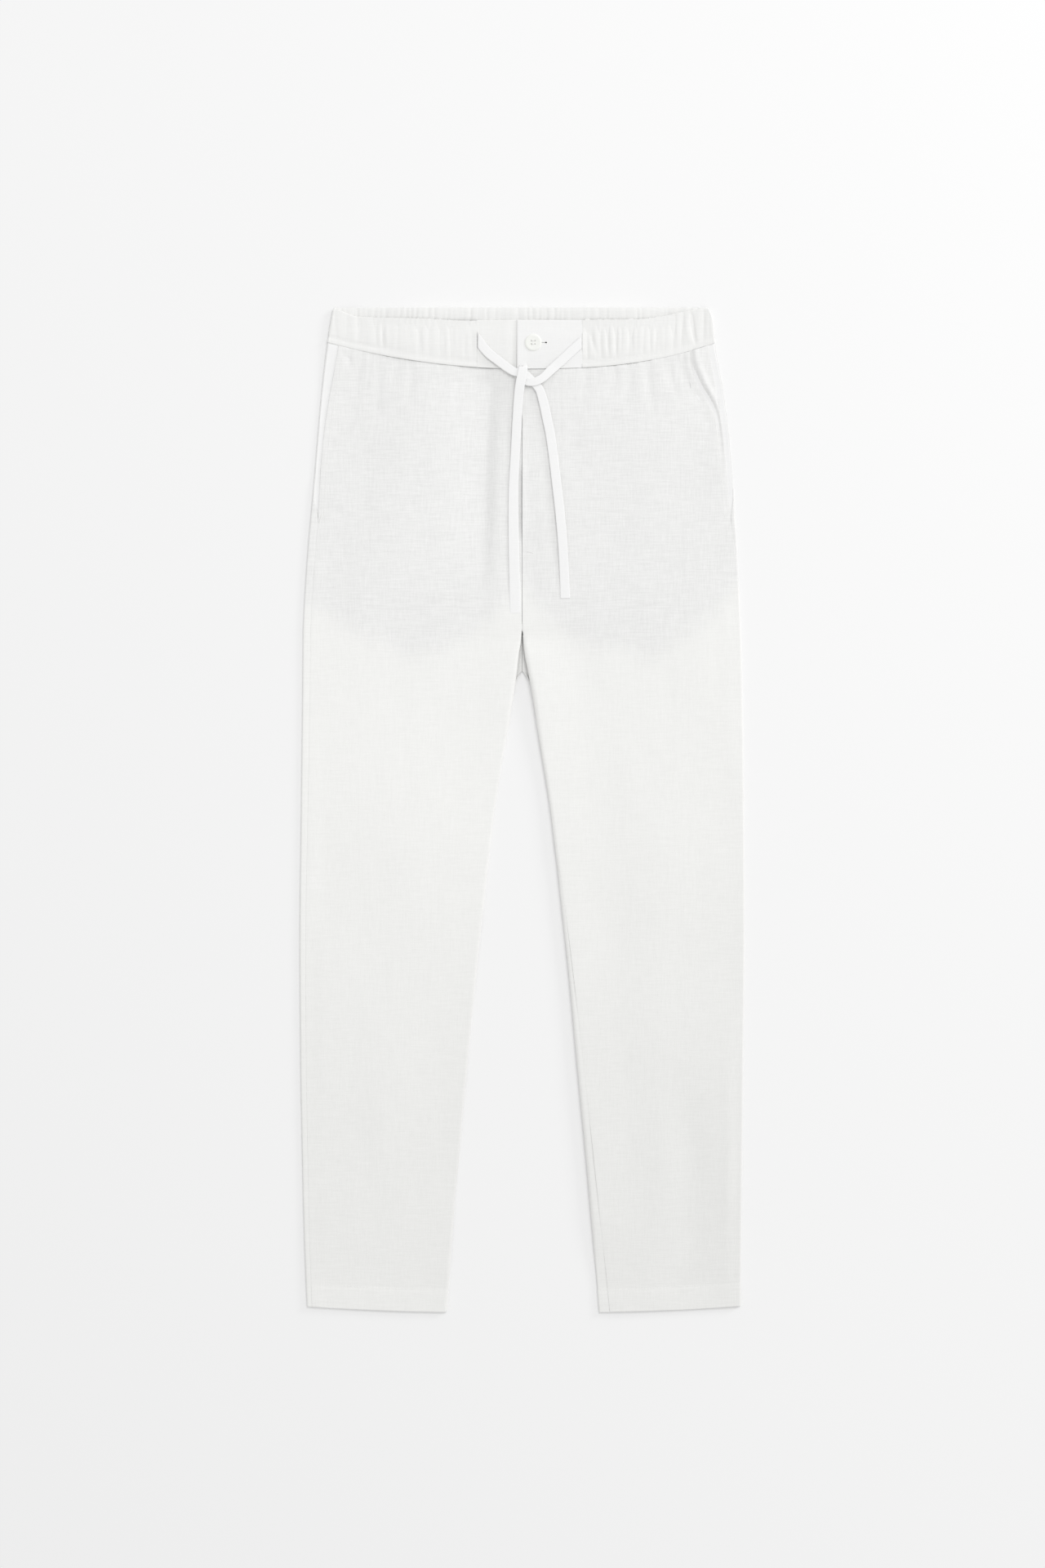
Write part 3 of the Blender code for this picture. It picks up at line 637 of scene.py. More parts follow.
# ---------------------------------------------------------------- making meshes
class Maker:
    """Makes Blender objects from bmeshes and from grids of points."""

    @staticmethod
    def add(name: str, bm: bmesh.types.BMesh, smooth: bool = True) -> bpy.types.Object:
        """Turns a bmesh into an object at the origin.

        Args:
            name: The piece's name.
            bm: Its mesh, in metres.
            smooth: Whether its faces are shaded smoothly.

        Returns:
            The object.
        """
        mesh = bpy.data.meshes.new(name)
        bm.to_mesh(mesh)
        bm.free()
        made = bpy.data.objects.new(name, mesh)
        bpy.context.scene.collection.objects.link(made)
        mesh.shade_smooth() if smooth else mesh.shade_flat()
        return made

    @staticmethod
    def grid(points: Array, uv: Array | None = None, closed: bool = False) -> bmesh.types.BMesh:
        """A grid of cloth through points.

        Args:
            points: Rows by columns of points, in millimetres.
            uv: Rows by columns of map places, in metres.
            closed: Whether the last row meets the first, as round a tube.

        Returns:
            The grid's bmesh, its faces towards +Z where rows run up and columns to the right.
        """
        rows, columns = points.shape[0] - 1, points.shape[1] - 1
        bm = bmesh.new()
        layer = bm.loops.layers.uv.new("UVMap")
        bmesh.ops.create_grid(bm, x_segments=columns, y_segments=rows, size=0.5)
        place = {v: (round((v.co.y + 0.5) * rows), round((v.co.x + 0.5) * columns)) for v in bm.verts}
        for vert, (row, column) in place.items():
            vert.co = points[row, column] * MM
        if uv is not None:
            for face in bm.faces:
                for loop in face.loops:
                    loop[layer].uv = uv[place[loop.vert]]
        if closed:
            bmesh.ops.remove_doubles(bm, verts=bm.verts, dist=TINY)
        return bm

    @staticmethod
    def thicken(made: bpy.types.Object, thickness: float) -> None:
        """Gives a sheet its thickness, inwards from its outer face, in millimetres."""
        wall = made.modifiers.new("cloth", "SOLIDIFY")
        wall.thickness = thickness * MM
        wall.offset = -1.0
        wall.use_even_offset = False
        wall.use_rim = True

    @staticmethod
    def cut(made: bpy.types.Object, cutter: bmesh.types.BMesh) -> None:
        """Takes a cutter's shape out of a piece, for good."""
        tool = Maker.add("cutter", cutter)
        hole = made.modifiers.new("cut", "BOOLEAN")
        hole.operation = "DIFFERENCE"
        hole.solver = "EXACT"
        hole.object = tool
        seen = made.evaluated_get(bpy.context.evaluated_depsgraph_get())
        mesh = bpy.data.meshes.new_from_object(seen)
        made.modifiers.clear()
        made.data = mesh
        bpy.data.objects.remove(tool)

    @staticmethod
    def dress(made: bpy.types.Object, finish: str, node: str = "", slot: str = "") -> None:
        """Gives a piece its finish and its body, and hides the node that it stands for.

        Args:
            made: The piece.
            finish: The name of its material.
            node: The node that it replaces; a row of stitches or a thread has none.
            slot: The slot that its finish belongs to; not used.
        """
        made.data.materials.clear()
        made.data.materials.append(FINISHES[finish])
        if node:
            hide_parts(node)
        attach(made, "root")
        log.info("%s: %d faces", made.name, len(made.data.polygons))


# ---------------------------------------------------------------- shader sums
class Term:
    """A shader value that can be written in sums."""

    def __init__(self, paint: Paint, socket: bpy.types.NodeSocket) -> None:
        """Holds a socket of a material."""
        self.paint, self.socket = paint, socket

    def _sum(self, operation: str, first: Any, second: Any) -> Term:
        """One Math node."""
        return self.paint.node("ShaderNodeMath", {"operation": operation}, {0: first, 1: second})

    def __add__(self, other: Any) -> Term:
        """self + other."""
        return self._sum("ADD", self, other)

    __radd__ = __add__

    def __sub__(self, other: Any) -> Term:
        """self - other."""
        return self._sum("SUBTRACT", self, other)

    def __rsub__(self, other: Any) -> Term:
        """other - self."""
        return self._sum("SUBTRACT", other, self)

    def __mul__(self, other: Any) -> Term:
        """self * other."""
        return self._sum("MULTIPLY", self, other)

    __rmul__ = __mul__

    def __truediv__(self, other: Any) -> Term:
        """self / other."""
        return self._sum("DIVIDE", self, other)

    def __abs__(self) -> Term:
        """The value without its sign."""
        return self._sum("ABSOLUTE", self, 0.0)

    def eased(self, low: float, high: float) -> Term:
        """Rises smoothly from 0 at low to 1 at high."""
        settings = {"interpolation_type": "SMOOTHSTEP"}
        return self.paint.node("ShaderNodeMapRange", settings, {0: self, 1: low, 2: high})


class Grain(NamedTuple):
    """A layer of seeded noise, drawn out along the axes with the slower pace."""

    pace: tuple[float, float, float]  # changes in a metre along each axis
    detail: float  # how many finer octaves it has
    shift: float  # moves it, so that two aren't alike
    weight: float = 1.0


class Paint:
    """A material under construction."""

    def __init__(self, name: str, roughness: float, specular: float, sheen: float) -> None:
        """Starts a material with one shader."""
        self.material = bpy.data.materials.new(name)
        self.material.use_nodes = True
        self.tree = self.material.node_tree
        self.shader = self.tree.nodes["Principled BSDF"]
        self.shader.inputs["Roughness"].default_value = roughness
        self.shader.inputs["Specular IOR Level"].default_value = specular
        self.shader.inputs["Sheen Weight"].default_value = sheen

    def node(self, kind: str, settings: dict[str, Any], inputs: dict[int | str, Any]) -> Term:
        """Adds a node.

        Args:
            kind: The node's type.
            settings: Its own settings, set first.
            inputs: Values or Terms for its sockets, by name or number.

        Returns:
            Its first shown output.
        """
        made = self.tree.nodes.new(kind)
        for name, value in settings.items():
            setattr(made, name, value)
        for key, value in inputs.items():
            socket = made.inputs[key]
            if isinstance(value, Term):
                self.tree.links.new(value.socket, socket)
            else:
                socket.default_value = value
        return Term(self, next(out for out in made.outputs if out.enabled))

    def place(self, from_map: bool = False) -> Term:
        """Object coordinates, or the piece's own map."""
        made = self.tree.nodes.new("ShaderNodeTexCoord")
        return Term(self, made.outputs["UV" if from_map else "Object"])

    def axis(self, vector: Term, name: str) -> Term:
        """One coordinate of a vector."""
        made = self.node("ShaderNodeSeparateXYZ", {}, {0: vector})
        return Term(self, made.socket.node.outputs[name])

    def streaks(self, vector: Term, grain: Grain) -> Term:
        """Seeded noise that follows coordinates, as a value round 0.5."""
        settings = {"operation": "MULTIPLY_ADD"}
        inputs = {0: vector, 1: grain.pace, 2: (grain.shift, grain.shift, grain.shift)}
        moved = self.node("ShaderNodeVectorMath", settings, inputs)
        inputs = {"Vector": moved, "Scale": 1.0, "Detail": grain.detail, "Roughness": 0.55}
        return self.node("ShaderNodeTexNoise", {"noise_dimensions": "3D"}, inputs)

    def tint(self, colour: Colour | Term, shade: Term) -> Term:
        """A colour made lighter or darker by a value round 1."""
        return self.node("ShaderNodeVectorMath", {"operation": "SCALE"}, {0: colour, "Scale": shade})

    def blend(self, first: Colour, second: Colour, share: Term) -> Term:
        """A colour between two colours."""
        made = self.tree.nodes.new("ShaderNodeMix")
        made.data_type = "RGBA"
        self.tree.links.new(share.socket, made.inputs["Factor"])
        colours = [socket for socket in made.inputs if socket.type == "RGBA"]
        for socket, colour in zip(colours, (first, second)):
            socket.default_value = (*colour, 1.0)
        return Term(self, next(out for out in made.outputs if out.type == "RGBA"))

    def finish(
        self, colour: Term, height: Term | None, strength: float, distance: float
    ) -> bpy.types.Material:
        """Joins colour and relief to the shader.

        Args:
            colour: The base colour.
            height: The relief, round 0.5.
            strength: How strongly the relief shows.
            distance: How high it stands, in metres.

        Returns:
            The material.
        """
        self.tree.links.new(colour.socket, self.shader.inputs["Base Color"])
        if height is not None:
            inputs = {"Strength": strength, "Distance": distance, "Height": height}
            bump = self.node("ShaderNodeBump", {}, inputs)
            self.tree.links.new(bump.socket, self.shader.inputs["Normal"])
        return self.material


# ---------------------------------------------------------------- finishes
FINISHES: dict[str, bpy.types.Material] = {}


LINEN_GRAINS = (
    Grain((760, 62, 300), 2.0, 3.1, 1.0),  # the warp's yarns
    Grain((58, 800, 300), 2.0, 17.7, 1.1),  # the weft's
    Grain((2400, 260, 900), 1.0, 41.0),  # fibres along the warp
    Grain((260, 2400, 900), 1.0, 59.0),  # fibres along the weft
    Grain((11, 8, 11), 2.0, 83.0),  # patches
)


@dataclass(frozen=True)
class Linen:
    """Plain-woven linen with uneven yarns; over the pocket bags it looks greyer and its yarns stand out. Its
    colour also carries painted shade: darker towards the wearer's left to even out the lamps' falloff, and on
    the legs darker towards the hems.
    """

    name: str
    colour: Colour
    lined: Colour | None = None  # its colour over the pocket bags
    slub: float = 0.07
    slub_lined: float = 0.15
    painted_side_shade: float = 0.1  # painted shade: how much darker the cloth gets in a metre towards the wearer's left, evening out the lamps' falloff
    low: float = 0.062  # painted shade: how much darker the lower legs are, for the light's falloff towards the hems

    def make(self) -> bpy.types.Material:
        """Builds the material."""
        paint = Paint(self.name, 0.9, 0.2, 0.08)
        paint.shader.inputs["Sheen Roughness"].default_value = 0.6
        where = paint.place()
        warp, weft, fine_warp, fine_weft, patches = (paint.streaks(where, grain) for grain in LINEN_GRAINS)
        yarns = (warp - 0.5) * LINEN_GRAINS[0].weight + (weft - 0.5) * LINEN_GRAINS[1].weight
        fine = (fine_warp - 0.5) + (fine_weft - 0.5)
        # painted shade across the body, darker towards the wearer's left
        base = 1 - paint.axis(where, "X") * self.painted_side_shade
        if self.lined is None:
            shade = base + yarns * self.slub + fine * 0.03 + (patches - 0.5) * 0.02
            colour = paint.tint(self.colour, shade)
        else:
            over = self.over_pockets(paint, where, patches)
            strength = self.slub + over * (self.slub_lined - self.slub)
            up = paint.axis(paint.place(from_map=True), "Y")
            hem = 1 - up.eased(HEM_DEPTH * MM - 0.002, HEM_DEPTH * MM)
            # painted shade: the lower legs darker towards the hems
            low = 1 - up.eased(0.08, 0.62)
            shade = base + yarns * strength + fine * (0.03 + over * 0.015)
            shade = shade + (patches - 0.5) * (0.025 + over * 0.03) + hem * 0.014 - low * self.low
            colour = paint.tint(paint.blend(self.colour, self.lined, over), shade)
        return paint.finish(colour, 0.5 + yarns * 0.6 + fine * 0.5, 0.22, 0.00025)

    @staticmethod
    def over_pockets(paint: Paint, where: Term, patches: Term) -> Term:
        """A value of 1 over the pocket bags and the fly, with a soft, uneven lower edge."""
        x, y = paint.axis(where, "X"), paint.axis(where, "Y")
        off = (abs(x) - 0.115) / 0.097
        edge = 0.160 + off * off * 0.044 + (patches - 0.5) * 0.06
        return (y - edge).eased(-0.012, 0.026)


@dataclass(frozen=True)
class Plain:
    """A finish of one colour, whose shade and relief follow a few layers of noise."""

    name: str
    colour: Colour
    grains: tuple[Grain, ...]
    contrast: float  # how far the noise changes the shade
    relief: tuple[float, float]  # how strongly it shows as relief, and how high that stands, in metres
    roughness: float
    specular: float = 0.5
    sheen: float = 0.0
    from_map: bool = False
    clear: Colour | None = None  # a second colour, in clouds
    clouds: Grain = Grain((160, 160, 160), 3.0, 2.0)

    def make(self) -> bpy.types.Material:
        """Builds the material."""
        paint = Paint(self.name, self.roughness, self.specular, self.sheen)
        where = paint.place(self.from_map)
        total = sum((paint.streaks(where, grain) - 0.5) * grain.weight for grain in self.grains)
        colour = self.colour
        if self.clear is not None:
            colour = paint.blend(self.colour, self.clear, paint.streaks(where, self.clouds))
        strength, distance = self.relief
        height = 0.5 + total if strength else None
        return paint.finish(paint.tint(colour, 1 + total * self.contrast), height, strength, distance)


LEG_LINEN = Linen("linen_leg", (0.927, 0.927, 0.909), (0.880, 0.880, 0.871))
BAND_LINEN = Linen("linen_band", (0.896, 0.896, 0.883), slub=0.06)
FACING_LINEN = Linen("linen_facing", (0.928, 0.928, 0.925), slub=0.04)
TAB_LINEN = Linen("linen_tab", (0.922, 0.922, 0.917), slub=0.04)
TAPE = Plain(
    "drawstring_tape",
    (0.945, 0.945, 0.943),
    (Grain((1500, 90, 1), 1.0, 7.0, 0.8), Grain((150, 1500, 1), 1.0, 13.0, 1.1)),
    contrast=0.05,
    relief=(0.3, 0.0003),
    roughness=0.82,
    specular=0.2,
    sheen=0.1,
    from_map=True,
)
LAWN = Plain(
    "bag_lawn",
    (0.89, 0.89, 0.87),
    (Grain((2200, 400, 900), 1.0, 5.0), Grain((400, 2200, 900), 1.0, 9.0)),
    contrast=0.03,
    relief=(0.15, 0.0001),
    roughness=0.85,
)
THREAD = Plain(
    "thread",
    (0.925, 0.925, 0.91),
    (Grain((2600, 2600, 2600), 1.0, 1.0),),
    contrast=0.08,
    relief=(0.2, 0.0001),
    roughness=0.7,
)
COROZO = Plain(
    "button_corozo",
    (0.926, 0.933, 0.893),
    (Grain((900, 240, 900), 2.0, 4.0),),
    contrast=0.03,
    relief=(0.06, 0.0002),
    roughness=0.55,
    specular=0.25,
    clear=(0.932, 0.939, 0.905),
)
PAPER = Plain(
    "floor_paper",
    (0.955, 0.955, 0.955),
    (Grain((1.2, 1.2, 1.2), 1.0, 6.0),),
    contrast=0.006,
    relief=(0.0, 0.0),
    roughness=1.0,
    specular=0.0,
)
ALL_FINISHES = (LEG_LINEN, BAND_LINEN, FACING_LINEN, TAB_LINEN, TAPE, LAWN, THREAD, COROZO, PAPER)


# ---------------------------------------------------------------- stitches
ON_SIDE = Matrix.Rotation(math.pi / 2, 4, "Y")


@dataclass
class Stitcher:
    """Lays rows of stitches: each is a short, low capsule of thread half sunk in the cloth."""

    length: float = 2.1
    gap: float = 0.7
    width: float = 0.42
    packed: float = 0.5  # the width and the pitch of a bartack's stitches
    bm: bmesh.types.BMesh = field(default_factory=bmesh.new)

    def one(self, start: Vector, end: Vector, width: float) -> None:
        """Lays one stitch between two points, in millimetres."""
        ahead = end - start
        turn = Vector((1, 0, 0)).rotation_difference(ahead).to_matrix().to_4x4()
        size = Matrix.Diagonal((ahead.length / 2, width / 2, width / 2, 1.0))
        place = Matrix.Translation((start + end) / 2 * MM) @ turn @ size @ Matrix.Diagonal((MM, MM, MM, 1.0))
        bmesh.ops.create_uvsphere(self.bm, u_segments=6, v_segments=4, radius=1.0, matrix=place @ ON_SIDE)

    def row(self, path: Array) -> None:
        """Lays a row of stitches along a path of points, in millimetres."""
        along = np.append(0.0, np.cumsum(np.linalg.norm(np.diff(path, axis=0), axis=1)))

        def point(s: float) -> Vector:
            """The point at a distance along the path."""
            return Vector([float(np.interp(s, along, path[:, k])) for k in range(3)])

        s = self.gap
        while s + self.length < along[-1]:
            self.one(point(s), point(s + self.length), self.width)
            s += self.length + self.gap

    def bar(self, middle: Vector, ahead: Vector, length: float, width: float) -> None:
        """Sews a bartack: close stitches side by side across a short bar.

        Args:
            middle: The bar's middle, in millimetres.
            ahead: Its direction.
            length: Its length.
            width: Its width, which is its stitches' length.
        """
        ahead = ahead.normalized()
        across = Vector((-ahead.y, ahead.x, 0.0))
        count = max(round(length / self.packed), 3)
        for k in range(count):
            at = middle + ahead * length * ((k + 0.5) / count - 0.5)
            self.one(at - across * width / 2, at + across * width / 2, self.packed)

    def make(self, name: str) -> None:
        """Turns all the stitches into one finished object."""
        Maker.dress(Maker.add(name, self.bm), THREAD.name)


# ---------------------------------------------------------------- folds of each panel
FRONT_FOLDS = {
    Side.RIGHT: (
        Crease(((-33, 466), (-36, 390), (-38, 320), (-41, 240), (-41, 130)), 12.5, -3.6, Fade.END, wider=3.8),
        Crease(((-37, 412), (-38, 330), (-40, 236)), 11, -2.0, wider=3.8),
        Crease(((-14, 452), (-14, 380), (-13, 300), (-12, 215)), 8, 0.9, Fade.END),
        Crease(((-146, 470), (-147, 440), (-150, 405)), 7, -0.8),
        Crease(((-166, 474), (-169, 448), (-171, 420)), 7, -0.6),
        Crease(((-113, 463), (-114, 440), (-118, 415)), 6, -0.55),
        Crease(((-67, 456), (-66, 430), (-70, 402)), 7, -0.55),
        Crease(((-190, 479), (-184, 470), (-177, 460)), 4.0, -1.0),
        Crease(((-186, 470), (-180, 462), (-173, 450)), 5, -0.4),
        Crease(((-182, 452), (-178, 410), (-180, 352)), 13, -0.35),
        Crease(((-128, 300), (-134, 200), (-130, 80)), 34, -0.5),
        Crease(((-172, -300), (-160, -380), (-150, -450)), 26, -0.5),
        Crease(((-110, -380), (-128, -430), (-150, -470)), 22, 0.4),
        Crease(((-95, 60), (-110, -40), (-118, -170)), 30, 0.45),
    ),
    Side.LEFT: (
        Crease(
            ((172, 484), (174, 462), (183, 437), (194, 419), (200.5, 404), (203.5, 384), (206, 348)),
            3.2,
            -2.0,
        ),
        Crease(((177, 484), (180, 460), (189, 437), (199, 419), (205, 402), (208, 384)), 5.5, 2.3),
        Crease(((160, 474), (164, 456), (172, 436), (184, 416), (190, 390)), 12, -0.8),
        Crease(((110, 466), (111, 446), (106, 412)), 9, -1.2),
        Crease(((127, 468), (129, 444), (134, 408)), 6, -0.9),
        Crease(((147, 472), (151, 448), (160, 420)), 7, -1.0),
        Crease(((92, 462), (94, 446), (90, 424)), 7, -0.8),
        Crease(((161, 470), (166, 450), (173, 430)), 6, -0.5),
        Crease(((62, 455), (64, 430), (63, 404)), 7, -0.4),
        Crease(((46, 452), (52, 400), (54, 340)), 11, -0.35),
        Crease(((150, 290), (146, 190), (152, 60)), 36, -0.5),
        Crease(((205, -400), (186, -430), (168, -452)), 13, -0.6),
        Crease(((212, -436), (190, -462), (160, -478)), 11, 0.45),
        Crease(((120, -60), (128, -180), (132, -300)), 30, 0.4),
        Crease(((166, -262), (174, -380), (164, -508)), 30, -2.9),
        Crease(((213, -240), (214, -380), (210, -500)), 13, 1.0),
    ),
}
BACK_FOLDS = {
    Side.RIGHT: (
        Crease(((-40, 470), (-36, 380), (-30, 300)), 13, -0.5),
        Crease(((-120, 472), (-126, 430), (-122, 380)), 9, -0.5),
        Crease(((-20, 210), (-60, 190), (-110, 182)), 10, -0.45),
        Crease(((-95, 20), (-140, 4), (-190, 12)), 13, -0.4),
        Crease(((-100, -10), (-150, -30), (-200, -26)), 12, -0.3),
    ),
    Side.LEFT: (
        Crease(((44, 470), (40, 390), (33, 310)), 12, -0.5),
        Crease(((132, 472), (128, 420), (136, 372)), 9, -0.45),
        Crease(((18, 205), (64, 192), (118, 176)), 10, -0.45),
        Crease(((90, 14), (140, 0), (196, 8)), 12, -0.4),
        Crease(((102, -24), (156, -40), (204, -30)), 12, -0.3),
    ),
}
FRONT_WAVES = Waves(11, 16, 70, 260, 0.42)
SMALL_WAVES = Waves(12, 14, 22, 60, 0.07)
BACK_WAVES = Waves(13, 12, 70, 240, 0.2)
FRONT_PUCKERS = {
    Side.RIGHT: Puckers(21, -192, -48, 6.5, 20, 0.55),
    Side.LEFT: Puckers(22, 62, 190, 6.0, 18, 0.85),
}
BACK_PUCKERS = Puckers(23, -190, 190, 7.0, 26, 0.5)
HEM_PUCKERS = Puckers(24, -225, 225, 5.5, 5, 0.16)


def sag(x: Array, y: Array) -> Array:
    """How far the front of the waistband sinks towards its seam and towards its upper edge."""
    inside = ease(2, 70, HALF_WAIST - np.abs(x))
    depth = SAG_SEAM + SAG_SEAM_LEFT * ease(40, 90, x)
    at_seam = depth * (1 - ease(-2, 17, y - waist_seam(x, Layer.FRONT))) * (0.35 + 0.65 * inside)
    return at_seam + SAG_TOP * ease(482, 504, y) * inside


def groove(off: Array, width: float, depth: float) -> Array:
    """A rounded groove, pulled down by a row of stitches."""
    return -depth * np.exp(-((off / width) ** 2))


def fly_out(y: Array) -> Array:
    """How far the fly's curved stitching runs out from the centre at levels of the body."""
    t = np.clip((FLY_BEND - y) / (FLY_BEND - FLY_BOTTOM), 0.0, 1.0)
    return FLY_WIDTH * np.sqrt(1 - t * t)


def settled(side: Side, x: Array, y: Array) -> Array:
    """The share of the relief that is left beside the seams at a leg's edges.

    Args:
        side: The wearer's side.
        x: Places across the body.
        y: Places up the body.

    Returns:
        Shares from 0 at the seams to 1 away from them.
    """
    reach = np.abs(x)
    start = 9 if side is Side.RIGHT else 0
    inner = ease(10, 24, reach - INNER[side](y))
    inner = inner + (1 - inner) * ease(CROTCH, CURL_TOP, y)
    return inner * ease(start, start + 16, OUTER[side](y) - reach)


def front_lift(side: Side, x: Array, y: Array) -> Array:
    """The relief of a front.

    Args:
        side: The wearer's side.
        x: Places across the body.
        y: Places up the body.

    Returns:
        How far each place stands above the plain form.
    """
    reach = np.abs(x)
    down = waist_seam(x, Layer.FRONT) - y
    held = 0.45 + 0.55 * ease(0, 18, down) if side is Side.RIGHT else 1.0  # the seam flattens the folds
    lift = FRONT_WAVES.lift(x, y) + SMALL_WAVES.lift(x, y)
    lift = lift + held * sum(fold.lift(x, y) for fold in FRONT_FOLDS[side])
    flatter = 0.35 + 0.2 * (side is Side.LEFT)
    raised = 0.7 + 0.25 * ease(50, 80, x) - flatter * ease(115, 150, reach)
    lift = lift + FRONT_PUCKERS[side].lift(x, down) + raised * (1 - ease(0, 24, down))
    lift = lift * settled(side, x, y)
    up = y - hem_edge(x)
    sewn = up - HEM_DEPTH + HEM_STITCH
    lift = lift + HEM_STEP * (1 - ease(HEM_DEPTH - 1.5, HEM_DEPTH + 1.0, up))
    lift = lift + groove(sewn, HEM_GROOVE, 0.34) + HEM_PUCKERS.lift(x, np.abs(sewn))
    if side is Side.LEFT:
        off = (fly_out(y) - reach) * np.where(y > FLY_BEND, 1.0, 0.75)
        lift = lift + groove(off, 1.2, 0.28) * ease(FLY_BOTTOM - 2, FLY_BOTTOM + 6, y)
        edge = ease(FLY_BOTTOM - 4, FLY_BOTTOM + 30, y) * (0.75 - 0.45 * ease(350, 400, y))
        lift = lift + edge * (1 - ease(0, 8, reach))
    else:
        gape = ease(268, 296, y) * (1 - ease(330, 366, y))
        lift = lift - (1.6 * gape + 0.15 * ease(266, 300, y)) * (1 - ease(0, 6.5, reach))
    return lift


def back_lift(side: Side, x: Array, y: Array) -> Array:
    """The relief of a back's underside, which only ever leaves the surface that it rests on.

    Args:
        side: The wearer's side.
        x: Places across the body.
        y: Places up the body.

    Returns:
        How far each place is drawn in, as numbers up to 0.
    """
    lift = BACK_WAVES.lift(x, y) - 0.28
    lift = lift + sum(fold.lift(x, y) for fold in BACK_FOLDS[side])
    lift = lift + BACK_PUCKERS.lift(x, waist_seam(x, Layer.BACK) - y)
    up = y - hem_edge(x)
    sewn = up - HEM_DEPTH + HEM_STITCH
    lift = np.where(up < HEM_DEPTH, lift * 0.3, lift) + groove(sewn, HEM_GROOVE, 0.3)
    return np.minimum(lift, 0.0) * settled(side, x, y)


def seat(x: Array, y: Array) -> Array:
    """Points on the fronts' upper face over places across and up the body."""
    x, y = np.asarray(x, float), np.asarray(y, float)
    z = np.zeros(x.shape)
    for side in Side:
        z = np.where(x * side.value >= 0, Form(side, y).top(x) + front_lift(side, x, y), z)
    return np.stack([x, y, z], axis=-1)


def outwards(side: Side, points: Array) -> Array:
    """Turns the columns round on the wearer's right, where they run towards -X, so that faces look up."""
    return points[:, ::-1] if side is Side.RIGHT else points


